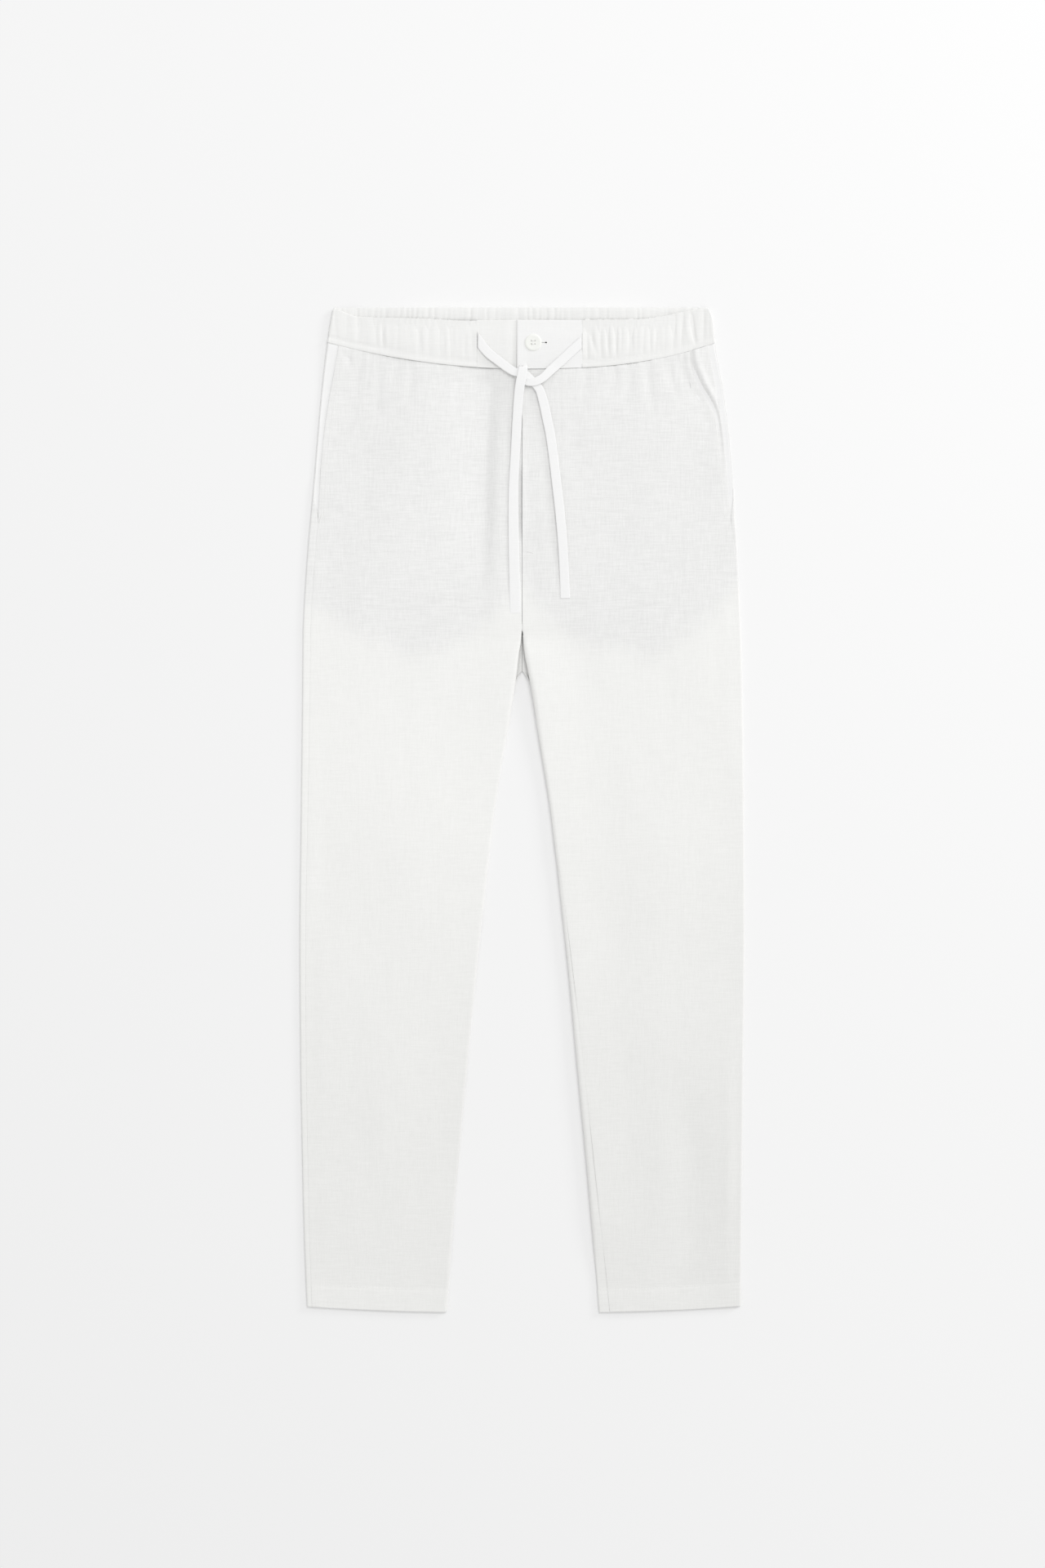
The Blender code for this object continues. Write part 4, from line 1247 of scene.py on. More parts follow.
# ---------------------------------------------------------------- fronts and backs
@dataclass
class Panel:
    """One front or one back, with its hem turned up inside the leg."""

    side: Side
    layer: Layer
    steps: tuple[int, ...]
    cut: tuple[float, float, float]  # width, length and area of the cut, in metres
    edge_width: float = 2.6
    edge_depth: float = 0.22
    hem_fold: float = 0.75  # half the thickness of the turned-up hem
    turn_rows: int = 6  # round the fold
    inside_rows: int = 8  # up the turned part

    @property
    def name(self) -> str:
        """The node that this panel stands for."""
        return f"{self.layer.value}_{self.side.word}"

    def knots(self, form: Form) -> tuple[Array, ...]:
        """The distances along the loop between which the columns are spread."""
        inseam = INSEAM(form.y) if self.side is Side.LEFT else 0.0 * form.y
        edge = kept(SIDE_EDGE[self.side, Layer.FRONT](form.y))
        if self.layer is Layer.FRONT:
            start, end = inseam + SEAM_GAP / 2, form.face - edge - SEAM_GAP / 2
            return start, start + LIP, start + 14, np.minimum(form.face - form.arc, end - 2), end - LIP, end
        edge = np.minimum(edge, kept(SIDE_EDGE[self.side, Layer.BACK](form.y)))
        start = form.face - edge + SEAM_GAP / 2
        end = 2 * form.face + inseam - SEAM_GAP / 2
        wrap = np.maximum(form.face - form.arc, start + 0.4)
        turn = np.maximum(form.face, wrap + 1)
        curl = 2 * form.face - form.inner_arc
        past = np.minimum(2 * form.face + form.inner_arc, end - 2 * LIP)
        return start, start + LIP, wrap, turn, form.face + form.arc, curl, past, end - LIP, end

    def rows(self) -> tuple[Array, Array]:
        """Each row's level, from the hem's inner edge round its fold to the waist, and its inset."""
        fold, hem, sewn = self.hem_fold, HEM_INNER + self.hem_fold, HEM_INNER + HEM_DEPTH
        turn = np.linspace(math.pi, 0, self.turn_rows, endpoint=False)
        body = levels(((hem, 1), (hem + 0.3, 12), (sewn + 3, 110), (300, 80), (WAIST - LIP, 1), (WAIST, 0)))
        inside = np.linspace(sewn - 1, hem, self.inside_rows, endpoint=False)
        level = np.concatenate([inside, hem - fold * np.sin(turn), body])
        inset = np.concatenate([0 * inside + 2 * fold, fold - fold * np.cos(turn), 0 * body])
        return level, inset

    def points(self) -> Array:
        """Every point of the panel's outer face."""
        level, inset = (row[:, None] for row in self.rows())
        plain = np.repeat(level, sum(self.steps) + 1, axis=1)
        top, low = ease(300, WAIST, plain), ease(-400, HEM_INNER, plain)
        y = plain
        for _ in range(4):
            form = Form(self.side, y, self.layer)
            x = form.at(spread(self.knots(form), self.steps))[..., 0]
            to_waist = waist_seam(x, self.layer) - SEAM_GAP - WAIST
            y = plain + top * to_waist + low * (hem_edge(x) - HEM_INNER)
        form = Form(self.side, y, self.layer)
        knots = self.knots(form)
        along = spread(knots, self.steps)
        x = form.at(along)[..., 0]
        lift = self.lift(x, y) - self.edges(form, along, knots[0], knots[-1], x)
        return form.at(along, inset - np.where(inset > 0.01, 0.0, lift))

    def lift(self, x: Array, y: Array) -> Array:
        """The relief of this panel's face."""
        return front_lift(self.side, x, y) if self.layer is Layer.FRONT else back_lift(self.side, x, y)

    def edges(self, form: Form, along: Array, start: Array, end: Array, x: Array) -> Array:
        """How far the cloth sinks towards the seams round the panel.

        Args:
            form: The loops that the rows lie on.
            along: Distances along the loops.
            start: Where the panel starts on them.
            end: Where it ends.
            x: Places across the body.

        Returns:
            The depth at each place.
        """
        closed = ease(CROTCH - 6, CROTCH + 6, form.y)
        near = 0.5 * np.where(self.layer is Layer.FRONT, 1 - 0.9 * closed, 1.0)
        sink = near * np.clip(1 - (along - start) / self.edge_width, 0, 1) ** 2
        mouth = ease(300, 320, form.y) if self.layer is Layer.FRONT else 0.0
        sink = sink + (0.4 + 0.6 * mouth) * np.clip(1 - (end - along) / self.edge_width, 0, 1) ** 2
        down = waist_seam(x, self.layer) - form.y
        return self.edge_depth * (sink + np.clip(1 - down / 2.4, 0, 1) ** 2)

    @staticmethod
    def above_hem(points: Array) -> Array:
        """The map: places across the body, and distances above the hem's edge, in metres."""
        x, y = points[..., 0], points[..., 1]
        return np.stack([x, y - hem_edge(x)], axis=-1) * MM

    def make(self) -> None:
        points = outwards(self.side, self.points())
        made = Maker.add(f"{self.name}_cloth", Maker.grid(points, self.above_hem(points)))
        Maker.thicken(made, CLOTH)
        Maker.dress(made, LEG_LINEN.name, self.name, "linen")


FRONT_STEPS = (1, 10, 116, 12, 1)
BACK_STEPS = (1, 3, 6, 6, 74, 12, 3, 1)
PANELS = (
    Panel(Side.LEFT, Layer.FRONT, FRONT_STEPS, (0.226, 1.000, 0.185)),
    Panel(Side.RIGHT, Layer.FRONT, FRONT_STEPS, (0.226, 1.000, 0.185)),
    Panel(Side.LEFT, Layer.BACK, BACK_STEPS, (0.240, 1.030, 0.200)),
    Panel(Side.RIGHT, Layer.BACK, BACK_STEPS, (0.240, 1.030, 0.200)),
)


# ---------------------------------------------------------------- pockets and fly
def lay(name: str, points: Array, flat: tuple[float, float], finish: str, slot: str) -> None:
    """Builds one thin sheet, inside the trousers.

    Args:
        name: The node that it stands for.
        points: Rows by columns of points, in millimetres.
        flat: The width and length of its cut, in metres; not used.
        finish: The name of its material.
        slot: A slot name, which dress does not use.
    """
    made = Maker.add(f"{name}_cloth", Maker.grid(points))
    Maker.thicken(made, THIN_CLOTH)
    Maker.dress(made, finish, name, slot)


@dataclass
class Pocket:
    """A slanted side pocket: its facing, which shows beside the mouth, and its bag."""

    side: Side
    facing_inset: float
    facing_rows: int = 70
    facing_steps: tuple[int, int] = (16, 10)
    facing_under: float = 26.0
    mouth_low: float = 290.0
    mouth_top: float = 470.0
    bag_in: float = 62.0
    bag_out: float = 196.0
    bag_top: float = 462.0
    bag_low: float = 168.0
    bag_corner: float = 60.0
    bag_narrower: float = 14.0  # at its upper edge
    bag_z: float = 2.4

    def facing(self) -> Array:
        """The facing's points."""
        level = np.linspace(self.mouth_low, self.mouth_top, self.facing_rows)[:, None]
        plain = np.repeat(level, sum(self.facing_steps) + 1, axis=1)
        rise = ease(self.mouth_low, self.mouth_top, plain)
        y = plain
        for _ in range(3):
            form = Form(self.side, y)
            end = form.face + 0.3 * form.arc
            start = form.face - kept(SIDE_EDGE[self.side, Layer.FRONT](y)) - self.facing_under
            along = spread((start, form.face - form.arc, end), self.facing_steps)
            x = form.at(along)[..., 0]
            y = plain + rise * (waist_seam(x, Layer.FRONT) - SEAM_GAP - self.mouth_top)
        form = Form(self.side, y)
        ripple = 0.12 * np.sin(y / 9.0) * np.sin(x / 7.0)
        low = 0.3 + 0.7 * ease(2, 14, waist_seam(x, Layer.FRONT) - y)
        inset = CLOTH + 0.05 + (self.facing_inset - CLOTH + ripple) * ease(0, 5, form.face - along) * low
        return form.at(along, inset)

    def bag(self) -> Array:
        """The bag's points: a flat sack with round lower corners."""
        up = levels(((0, 20), (self.bag_corner, 24), (self.bag_top - self.bag_low, 0)))[:, None]
        across = np.linspace(-1, 1, 31)[None, :]
        middle, half = (self.bag_in + self.bag_out) / 2, (self.bag_out - self.bag_in) / 2
        lower = np.clip(1 - up / self.bag_corner, 0, 1)
        corner = self.bag_corner * (1 - np.sqrt(1 - lower**2 * 0.999))
        narrow = ease(350, self.bag_top, self.bag_low + up) * self.bag_narrower
        x = self.side.value * (middle + across * (half - corner - narrow) - narrow * 0.3)
        y = np.broadcast_to(self.bag_low + up, x.shape)
        edge = np.minimum(1 - np.abs(across), 0.2) * 5
        z = self.bag_z - 0.3 + 0.3 * edge + 0.12 * np.sin(x / 17) * np.sin(y / 23)
        return np.stack([x, y, z], axis=-1)

    def make(self) -> None:
        """Builds the facing and the bag."""
        word, facing, bag = self.side.word, self.facing(), self.bag()
        lay(f"pocket_facing_{word}", outwards(self.side, facing), (0.042, 0.185), FACING_LINEN.name, "linen")
        lay(f"pocket_bag_{word}", outwards(self.side, bag), (0.134, 0.295), LAWN.name, "bag_lawn")


@dataclass
class FlyLayer:
    """One of the two J-shaped layers behind the left front's folded edge."""

    node: str
    start: float  # its edge across the body
    shrink: float  # how far its curved edge lies inside the stitching
    top_z: float
    flat: tuple[float, float]

    def make(self) -> None:
        """Builds the layer."""
        y = levels(((FLY_BOTTOM, 26), (FLY_BEND, 40), (SEAM_LOW - 1.5, 0)))[:, None]
        reach = np.maximum(fly_out(y) - self.shrink, 4.0)
        x = self.start + (reach - self.start) * np.linspace(0, 1, 21)[None, :]
        z = self.top_z - 0.1 + 0.1 * np.sin(x / 6) * np.sin(y / 11)
        points = np.stack([x, np.broadcast_to(y, x.shape), z], axis=-1)
        lay(self.node, points, self.flat, LEG_LINEN.name, "linen")


FLY = (
    FlyLayer("fly_facing", 0.6, 0.0, 5.0, (0.040, 0.186)),
    FlyLayer("fly_extension", -9.0, 3.0, 3.7, (0.045, 0.186)),
)


# ---------------------------------------------------------------- waistband
@dataclass
class Casing:
    """The gathered casing of the waistband, from the left tab round the back to the right tab."""

    front_steps: int = 150
    side_steps: int = 16
    back_steps: int = 176
    wall: float = 1.8
    edge_half: float = 2.0
    edge_round: float = 0.45
    fullness: float = 4.9  # how much thicker the gathered cloth is along the back's upper edge
    face_rows: int = 18
    inside_rows: int = 12
    turn_rows: int = 5
    inside_in: float = 0.35  # how far the inner skin is drawn in
    front_share: float = 0.35  # how much of its gathers the front's inner skin has
    front_from: float = 46.0  # the front's gathers are laid out from here
    cut: tuple[float, float] = (0.690, 0.112)

    FRONT_GATHERS = {Side.RIGHT: Gathers(31, 150, 9.5, 0.7), Side.LEFT: Gathers(32, 150, 8.2, 1.05)}
    BACK_GATHERS = {Side.RIGHT: Gathers(33, 400, 7.5, 1.0), Side.LEFT: Gathers(34, 400, 7.5, 1.0)}
    INSIDE_GATHERS = {Side.RIGHT: Gathers(35, 400, 5.6, 0.9), Side.LEFT: Gathers(36, 400, 5.6, 0.9)}
    PLEATS = (
        Crease(((-142, 503), (-143, 490), (-142, 470)), 2.6, -1.1),
        Crease(((-137, 504), (-138, 490), (-138, 472)), 4.0, 0.4),
        Crease(((-104, 505), (-105, 488), (-103, 466)), 3.4, -0.6),
        Crease(((-81, 496), (-80, 480), (-82, 462)), 3.0, -0.4),
        Crease(((-70, 506), (-71, 486), (-69, 462)), 3.2, -0.45),
        Crease(((-58, 488), (-59, 474), (-58, 460)), 2.6, -0.4),
        Crease(((-165, 509), (-166, 494), (-165, 478)), 4.0, -0.5),
        Crease(((66.0, 506), (71, 486), (78, 462)), 3.0, -0.9),
        Crease(((86.4, 508), (88, 490), (89, 462)), 2.6, -0.7),
        Crease(((95, 500), (96.5, 484), (96, 464)), 2.4, -0.9),
        Crease(((102, 510), (102, 488), (101.5, 466)), 2.6, -0.6),
        Crease(((111, 504), (110.5, 486), (109, 464)), 3.0, -0.9),
        Crease(((120, 510), (118, 488), (117.5, 468)), 2.8, -0.5),
        Crease(((141, 498), (140, 486), (141, 468)), 3.4, -0.5),
        Crease(((173.5, 512), (175, 496), (179, 474)), 2.4, -1.9),
        Crease(((168.0, 512), (169, 496), (173, 476)), 3.0, 0.4),
        Crease(((154, 512), (155, 498), (158, 480)), 3.2, -0.6),
    )

    def columns(self) -> tuple[Array, Array]:
        """Each column's side and share: 0 to 1 over the front, to 2 round the side, to 3 on the back."""
        steps = (1, self.front_steps, self.side_steps, self.back_steps, 0)
        half = levels(tuple(zip((0.0, 0.001, 1.0, 2.0, 3.0), steps)))
        side = np.append(np.full(len(half), 1), np.full(len(half) - 1, -1))
        return side, np.append(half, half[-2::-1])

    def ring(self) -> tuple[Array, Array, Array]:
        """Round the section: each row's share of the depth, its offset from that and its inset."""
        r = self.wall / 2
        up = np.concatenate([[0.0], np.linspace(0.006, 0.994, self.face_rows), [1.0]])
        down = np.linspace(1, 0, self.inside_rows)
        turn = np.linspace(0, np.pi, self.turn_rows + 2)[1:-1]
        share = np.concatenate([up, np.ones(len(turn)), down, np.zeros(len(turn)), [0.0]])
        over = np.sin(turn) * self.edge_round
        off = np.concatenate([0 * up, 2 * over, 0 * down, -over, [0.0]])
        inset = np.concatenate([0 * up, r - r * np.cos(turn), 0 * down + 2 * r, r + r * np.cos(turn), [0.0]])
        return share, off, inset

    def outside(self, side: Array, t: Array, y: Array) -> tuple[Array, Array]:
        """Points on the plain outside of the band, and the directions out of it.

        Args:
            side: 1 on the wearer's left and -1 on the right.
            t: Each column's share, as `columns` gives it.
            y: Places up the body.

        Returns:
            The points, and the unit vectors.
        """
        outer = np.where(side > 0, OUTER[Side.LEFT](y), OUTER[Side.RIGHT](y))
        half = self.edge_half
        straight = outer - half
        start = np.where(side > 0, TAB_LEFT, -TAB_RIGHT) + 0.04
        turn = np.pi * np.clip(t - 1, 0, 1)
        x = np.where(t <= 1, start + (straight - start) * t, np.where(t >= 2, straight * (3 - t), straight))
        out = np.stack([side * np.sin(turn), 0 * turn, np.cos(turn)], axis=-1)
        crown = np.where(t < 1, (BAND_HEIGHT - 2 * half) * ease(0, CROWN, straight - x), 0.0)
        point = np.stack([side * x, np.broadcast_to(y, x.shape), half + crown], axis=-1)
        return point + out * half, out

    def lift(self, side: Array, t: Array, x: Array, y: Array, up: Array, rise: Array) -> Array:
        """The relief of the outer face.

        Args:
            side: 1 on the wearer's left and -1 on the right.
            t: Each column's share, as `columns` gives it.
            x: Places across the body.
            y: Places up the body.
            up: Shares of the band's depth.
            rise: Distances above the waist seam.

        Returns:
            How far each place stands above the plain band.
        """
        total = np.zeros(x.shape)
        front, back = 1 - ease(0.93, 1.15, t), ease(1.8, 2.0, t)
        along = np.where(t <= 1, np.abs(x) - self.front_from, 0.0)
        for s in Side:
            mine = side == s.value
            total += np.where(mine, self.FRONT_GATHERS[s].lift(along, up) * front, 0.0)
            total += np.where(mine, self.BACK_GATHERS[s].lift(np.abs(x), up) * back, 0.0)
        total += sum(pleat.lift(x, y) for pleat in self.PLEATS) * front
        calm = ease(WELT - 0.5, WELT + 5, rise)
        total = total * (0.25 + 0.75 * calm) - front * sag(x, y)
        raised = 0.45 + 0.5 * ease(2, 60, HALF_WAIST - np.abs(x))
        welt = raised * np.clip(1 - rise / WELT, 0, 1) * ease(-0.6, 0.8, rise)
        total += welt + groove(rise - WELT, 1.0, 0.75)
        total += self.slit_lip(side, t, x, y)
        return np.where(t >= 1.5, np.minimum(total - 0.35, 0.0), total)

    @staticmethod
    def slit_lip(side: Array, t: Array, x: Array, y: Array) -> Array:
        """The casing's end stands up over the drawstring, and sinks into the seam above and below it."""
        middle = np.where(side > 0, SLIT_AT[1], SLIT_AT[-1])
        at_slit = 1 - ease(8.0, 10.5, np.abs(y - middle))
        off = np.abs(x) - np.where(side > 0, TAB_LEFT, -TAB_RIGHT)
        near = np.where(t <= 1, 1 - ease(0.0, 5.0, off), 0.0)
        seam = np.where(t <= 1, 1 - ease(0.0, 2.0, off), 0.0)
        return 0.5 * at_slit * near - 0.05 * (1 - at_slit) * seam

    def points(self) -> Array:
        """Every point of the casing's outer skin, as rows round the section by columns along the band."""
        side, t = self.columns()
        share, off, inset = (part[:, None] for part in self.ring())
        side, t = side[None, :], t[None, :]
        back = ease(1.3, 1.7, t)
        low = np.full(t.shape, WAIST)
        for _ in range(5):
            x = self.outside(side, t, low)[0][..., 0]
            low = waist_seam(x, Layer.FRONT) * (1 - back) + waist_seam(x, Layer.BACK) * back
        top = BAND_TOP_LINE(x) * (1 - back) + BACK_TOP * back
        bottom, head = low + self.edge_round, top - 2 * self.edge_round - 0.1
        rise = share * (head - bottom)
        y = bottom + rise + off
        side, t = np.broadcast_to(side, y.shape), np.broadcast_to(t, y.shape)
        x = self.outside(side, t, y)[0][..., 0]
        up = rise / (head - bottom)
        lift = self.lift(side, t, x, y, up, rise + self.edge_round)
        inner = np.zeros(y.shape)
        for s in Side:
            gathers = self.INSIDE_GATHERS[s].lift(np.abs(x), 0.15 + 0.8 * up)
            inner += np.where(side == s.value, gathers, 0.0)
        inner += self.inside_in
        full = self.fullness * ease(28, 110, HALF_WAIST - np.abs(x)) * ease(1.5, 2.0, t)
        full = full * ease(0.46, 0.8, share)
        part = inset / self.wall
        gathered = inner * np.where(t > 1.5, 1.0, self.front_share)
        drawn = inset - lift * (1 - part) + (gathered + full) * part
        y = y + 0.5 * inner * ease(0.97, 1.0, share) * np.sin(np.pi * np.clip(part, 0, 1))
        plain, out = self.outside(side, t, y)
        return plain - out * drawn[..., None]

    def make(self) -> None:
        made = Maker.add("waistband_casing", Maker.grid(self.points(), closed=True))
        Maker.thicken(made, CASING_CLOTH)
        Maker.dress(made, BAND_LINEN.name, "waistband_elastic", "linen")


@dataclass
class Tabs:
    """The waistband's two flat ends: the left one lies over the right one, and holds the buttonhole."""

    rows: int = 60
    fold_round: float = 0.7
    seam_round: float = 0.06
    slit_half: float = 0.18  # half the buttonhole's width

    def plate(
        self, name: str, start: float, end: float, level: Callable[[Array], Array], columns: int
    ) -> bpy.types.Object:
        """Builds a flat, soft-edged end.

        Args:
            name: The piece's name.
            start: Its first edge across the body.
            end: Its last edge.
            level: The height of its face over places across the body.
            columns: How many columns it has.

        Returns:
            The piece.
        """
        free = start == TAB_SPLIT
        x = levels(((start, 1), (start + LIP, columns), (end - LIP, 1), (end, 0)))[None, :]
        low = waist_seam(x, Layer.FRONT) + 0.1
        share = levels(((0, 1), (0.003, self.rows), (0.997, 1), (1, 0)))[:, None]
        y = low + (TAB_TOP - low) * share
        x = np.broadcast_to(x, y.shape)
        drop = np.zeros(y.shape)
        folded = x - start if free else x * 0 + 9
        rounded = ((folded, self.fold_round), (TAB_TOP - y, self.fold_round), (end - x, self.seam_round))
        for near, r in rounded:
            drop += r - np.sqrt(np.maximum(r * r - np.maximum(r - near, 0) ** 2, 0))
        soft = 0.14 * np.sin(x / 13 + 0.6) * np.sin(y / 15)
        if free:
            soft = soft + 1.0 * (1 - ease(0, 13, x - start)) * (1 - ease(452, 500, y))
        z = level(x) - drop + soft - sag(x, y) * (1 - 0.5 * ease(0, 9, end - x) * ease(490, 470, y))
        made = Maker.add(name, Maker.grid(np.stack([x, y, z], axis=-1)))
        Maker.thicken(made, TAB_CLOTH)
        return made

    @staticmethod
    def right_level(x: Array) -> Array:
        """The right tab dips to run under the left one, and more so behind the buttonhole's eye."""
        under = RIGHT_TAB_Z + (UNDER_TAB_Z - RIGHT_TAB_Z) * ease(-17, -7.5, x)
        return under - 2.0 * ease(13, 21, x) * (1 - ease(28, 32, x))

    @staticmethod
    def left_level(x: Array) -> Array:
        """The left tab is level."""
        return LEFT_TAB_Z + 0 * x

    def cutters(self) -> Iterator[bmesh.types.BMesh]:
        """The cutters for the buttonhole's slit and for the round eye at its end."""
        long = (BUTTONHOLE[1] - BUTTONHOLE[0]) / 2
        for middle, wide, high in ((BUTTONHOLE[0] + long, long, self.slit_half), (EYE_AT, *EYE_HALF)):
            slit = bmesh.new()
            size = Matrix.Diagonal((wide * MM, high * MM, 4 * MM, 1.0))
            place = Matrix.Translation(Vector((middle, BUTTON_AT[1], LEFT_TAB_Z)) * MM) @ size
            shape = {"segments": 24, "radius1": 1, "radius2": 1, "depth": 2}
            bmesh.ops.create_cone(slit, cap_ends=True, matrix=place, **shape)
            yield slit

    def make(self) -> None:
        left = self.plate("waistband_tab_left_cloth", TAB_SPLIT, TAB_LEFT, self.left_level, 84)
        for cutter in self.cutters():
            Maker.cut(left, cutter)
        right = self.plate("waistband_tab_right_cloth", TAB_RIGHT, TAB_UNDER, self.right_level, 96)
        # The right tab takes the band's darker, warmer linen: partly its own tone, partly painted shade for
        # lying under the left tab's edge.
        for made, node, finish, flat in (
            (left, "waistband_tab_left", TAB_LINEN, (0.067, 0.050)),
            (right, "waistband_tab_right", BAND_LINEN, (0.078, 0.050)),
        ):
            Maker.dress(made, finish.name, node, "linen")


# ---------------------------------------------------------------- button
class Turned(NamedTuple):
    """A corner of the button's turned outline, from its middle up."""

    radius: float
    z: float


BUTTON_OUTLINE = (
    Turned(0.0, 0.0),
    Turned(8.2, 0.0),
    Turned(8.6, 0.2),
    Turned(8.8, 0.7),
    Turned(8.7, 1.3),
    Turned(8.3, 1.8),
    Turned(7.6, 2.08),
    Turned(6.8, 2.15),
    Turned(6.1, 2.1),
    Turned(5.4, 2.0),
    Turned(4.6, 1.95),
    Turned(0.0, 1.92),
)
CORNERS = ((-1, 1), (1, 1), (1, -1), (-1, -1))


@dataclass
class Button:
    """The dished four-hole button and the thread that holds it."""

    seat: float = LEFT_TAB_Z - 0.95
    hole: float = 0.8
    hole_at: float = 1.7
    sharp: float = 0.9  # edges with a wider angle than this are rounded
    rounding: float = 0.12
    thread_z: float = 2.05
    strand_pitch: float = 0.36
    strand: float = 0.42
    pillar: float = 1.1  # the bundle of thread through a hole

    def holes(self) -> list[Vector]:
        """The middles of the four holes, in millimetres."""
        x, y, off = *BUTTON_AT, self.hole_at
        return [Vector((x + a * off, y + b * off, 0)) for a, b in CORNERS]

    def body(self) -> bpy.types.Object:
        """Turns the button and drills it."""
        bm = bmesh.new()
        verts = [bm.verts.new(Vector((p.radius, 0, p.z)) * MM) for p in BUTTON_OUTLINE]
        edges = [bm.edges.new(pair) for pair in zip(verts, verts[1:])]
        turn = {"cent": (0, 0, 0), "axis": (0, 0, 1), "angle": 2 * math.pi, "steps": 56, "use_merge": True}
        bmesh.ops.spin(bm, geom=verts + edges, **turn)
        bmesh.ops.remove_doubles(bm, verts=bm.verts, dist=TINY)
        bmesh.ops.recalc_face_normals(bm, faces=bm.faces)
        bmesh.ops.translate(bm, vec=Vector((*BUTTON_AT, self.seat)) * MM, verts=bm.verts)
        made = Maker.add("button_body", bm)
        drills = bmesh.new()
        for hole in self.holes():
            place = Matrix.Translation((hole + Vector((0, 0, self.seat))) * MM)
            size = {"radius1": self.hole * MM, "radius2": self.hole * MM, "depth": 8 * MM}
            bmesh.ops.create_cone(drills, cap_ends=True, segments=20, matrix=place, **size)
        Maker.cut(made, drills)
        bm = bmesh.new()
        bm.from_mesh(made.data)
        sharp = [e for e in bm.edges if len(e.link_faces) == 2 and e.calc_face_angle() > self.sharp]
        profile = {"affect": "EDGES", "segments": 2, "profile": 0.5, "material": -1, "clamp_overlap": True}
        bmesh.ops.bevel(bm, geom=sharp, offset=self.rounding * MM, **profile)
        bm.to_mesh(made.data)
        bm.free()
        made.data.shade_smooth()
        return made

    def threads(self) -> Stitcher:
        """Two bars of three strands each between the holes."""
        sewn = Stitcher()
        holes = self.holes()
        top = Vector((0, 0, self.seat + self.thread_z))
        for first, second in ((0, 1), (3, 2)):
            for k in (-1, 0, 1):
                off = Vector((0, self.strand_pitch * k, 0.1 - 0.1 * abs(k)))
                sewn.one(holes[first] + off + top, holes[second] + off + top, self.strand)
        for hole in holes:
            sewn.one(hole + Vector((0, 0, self.seat - 0.2)), hole + top, self.pillar)
        return sewn

    def make(self) -> None:
        """Builds the button and its thread."""
        Maker.dress(self.body(), COROZO.name, "button", "button")
        self.threads().make("button_thread")


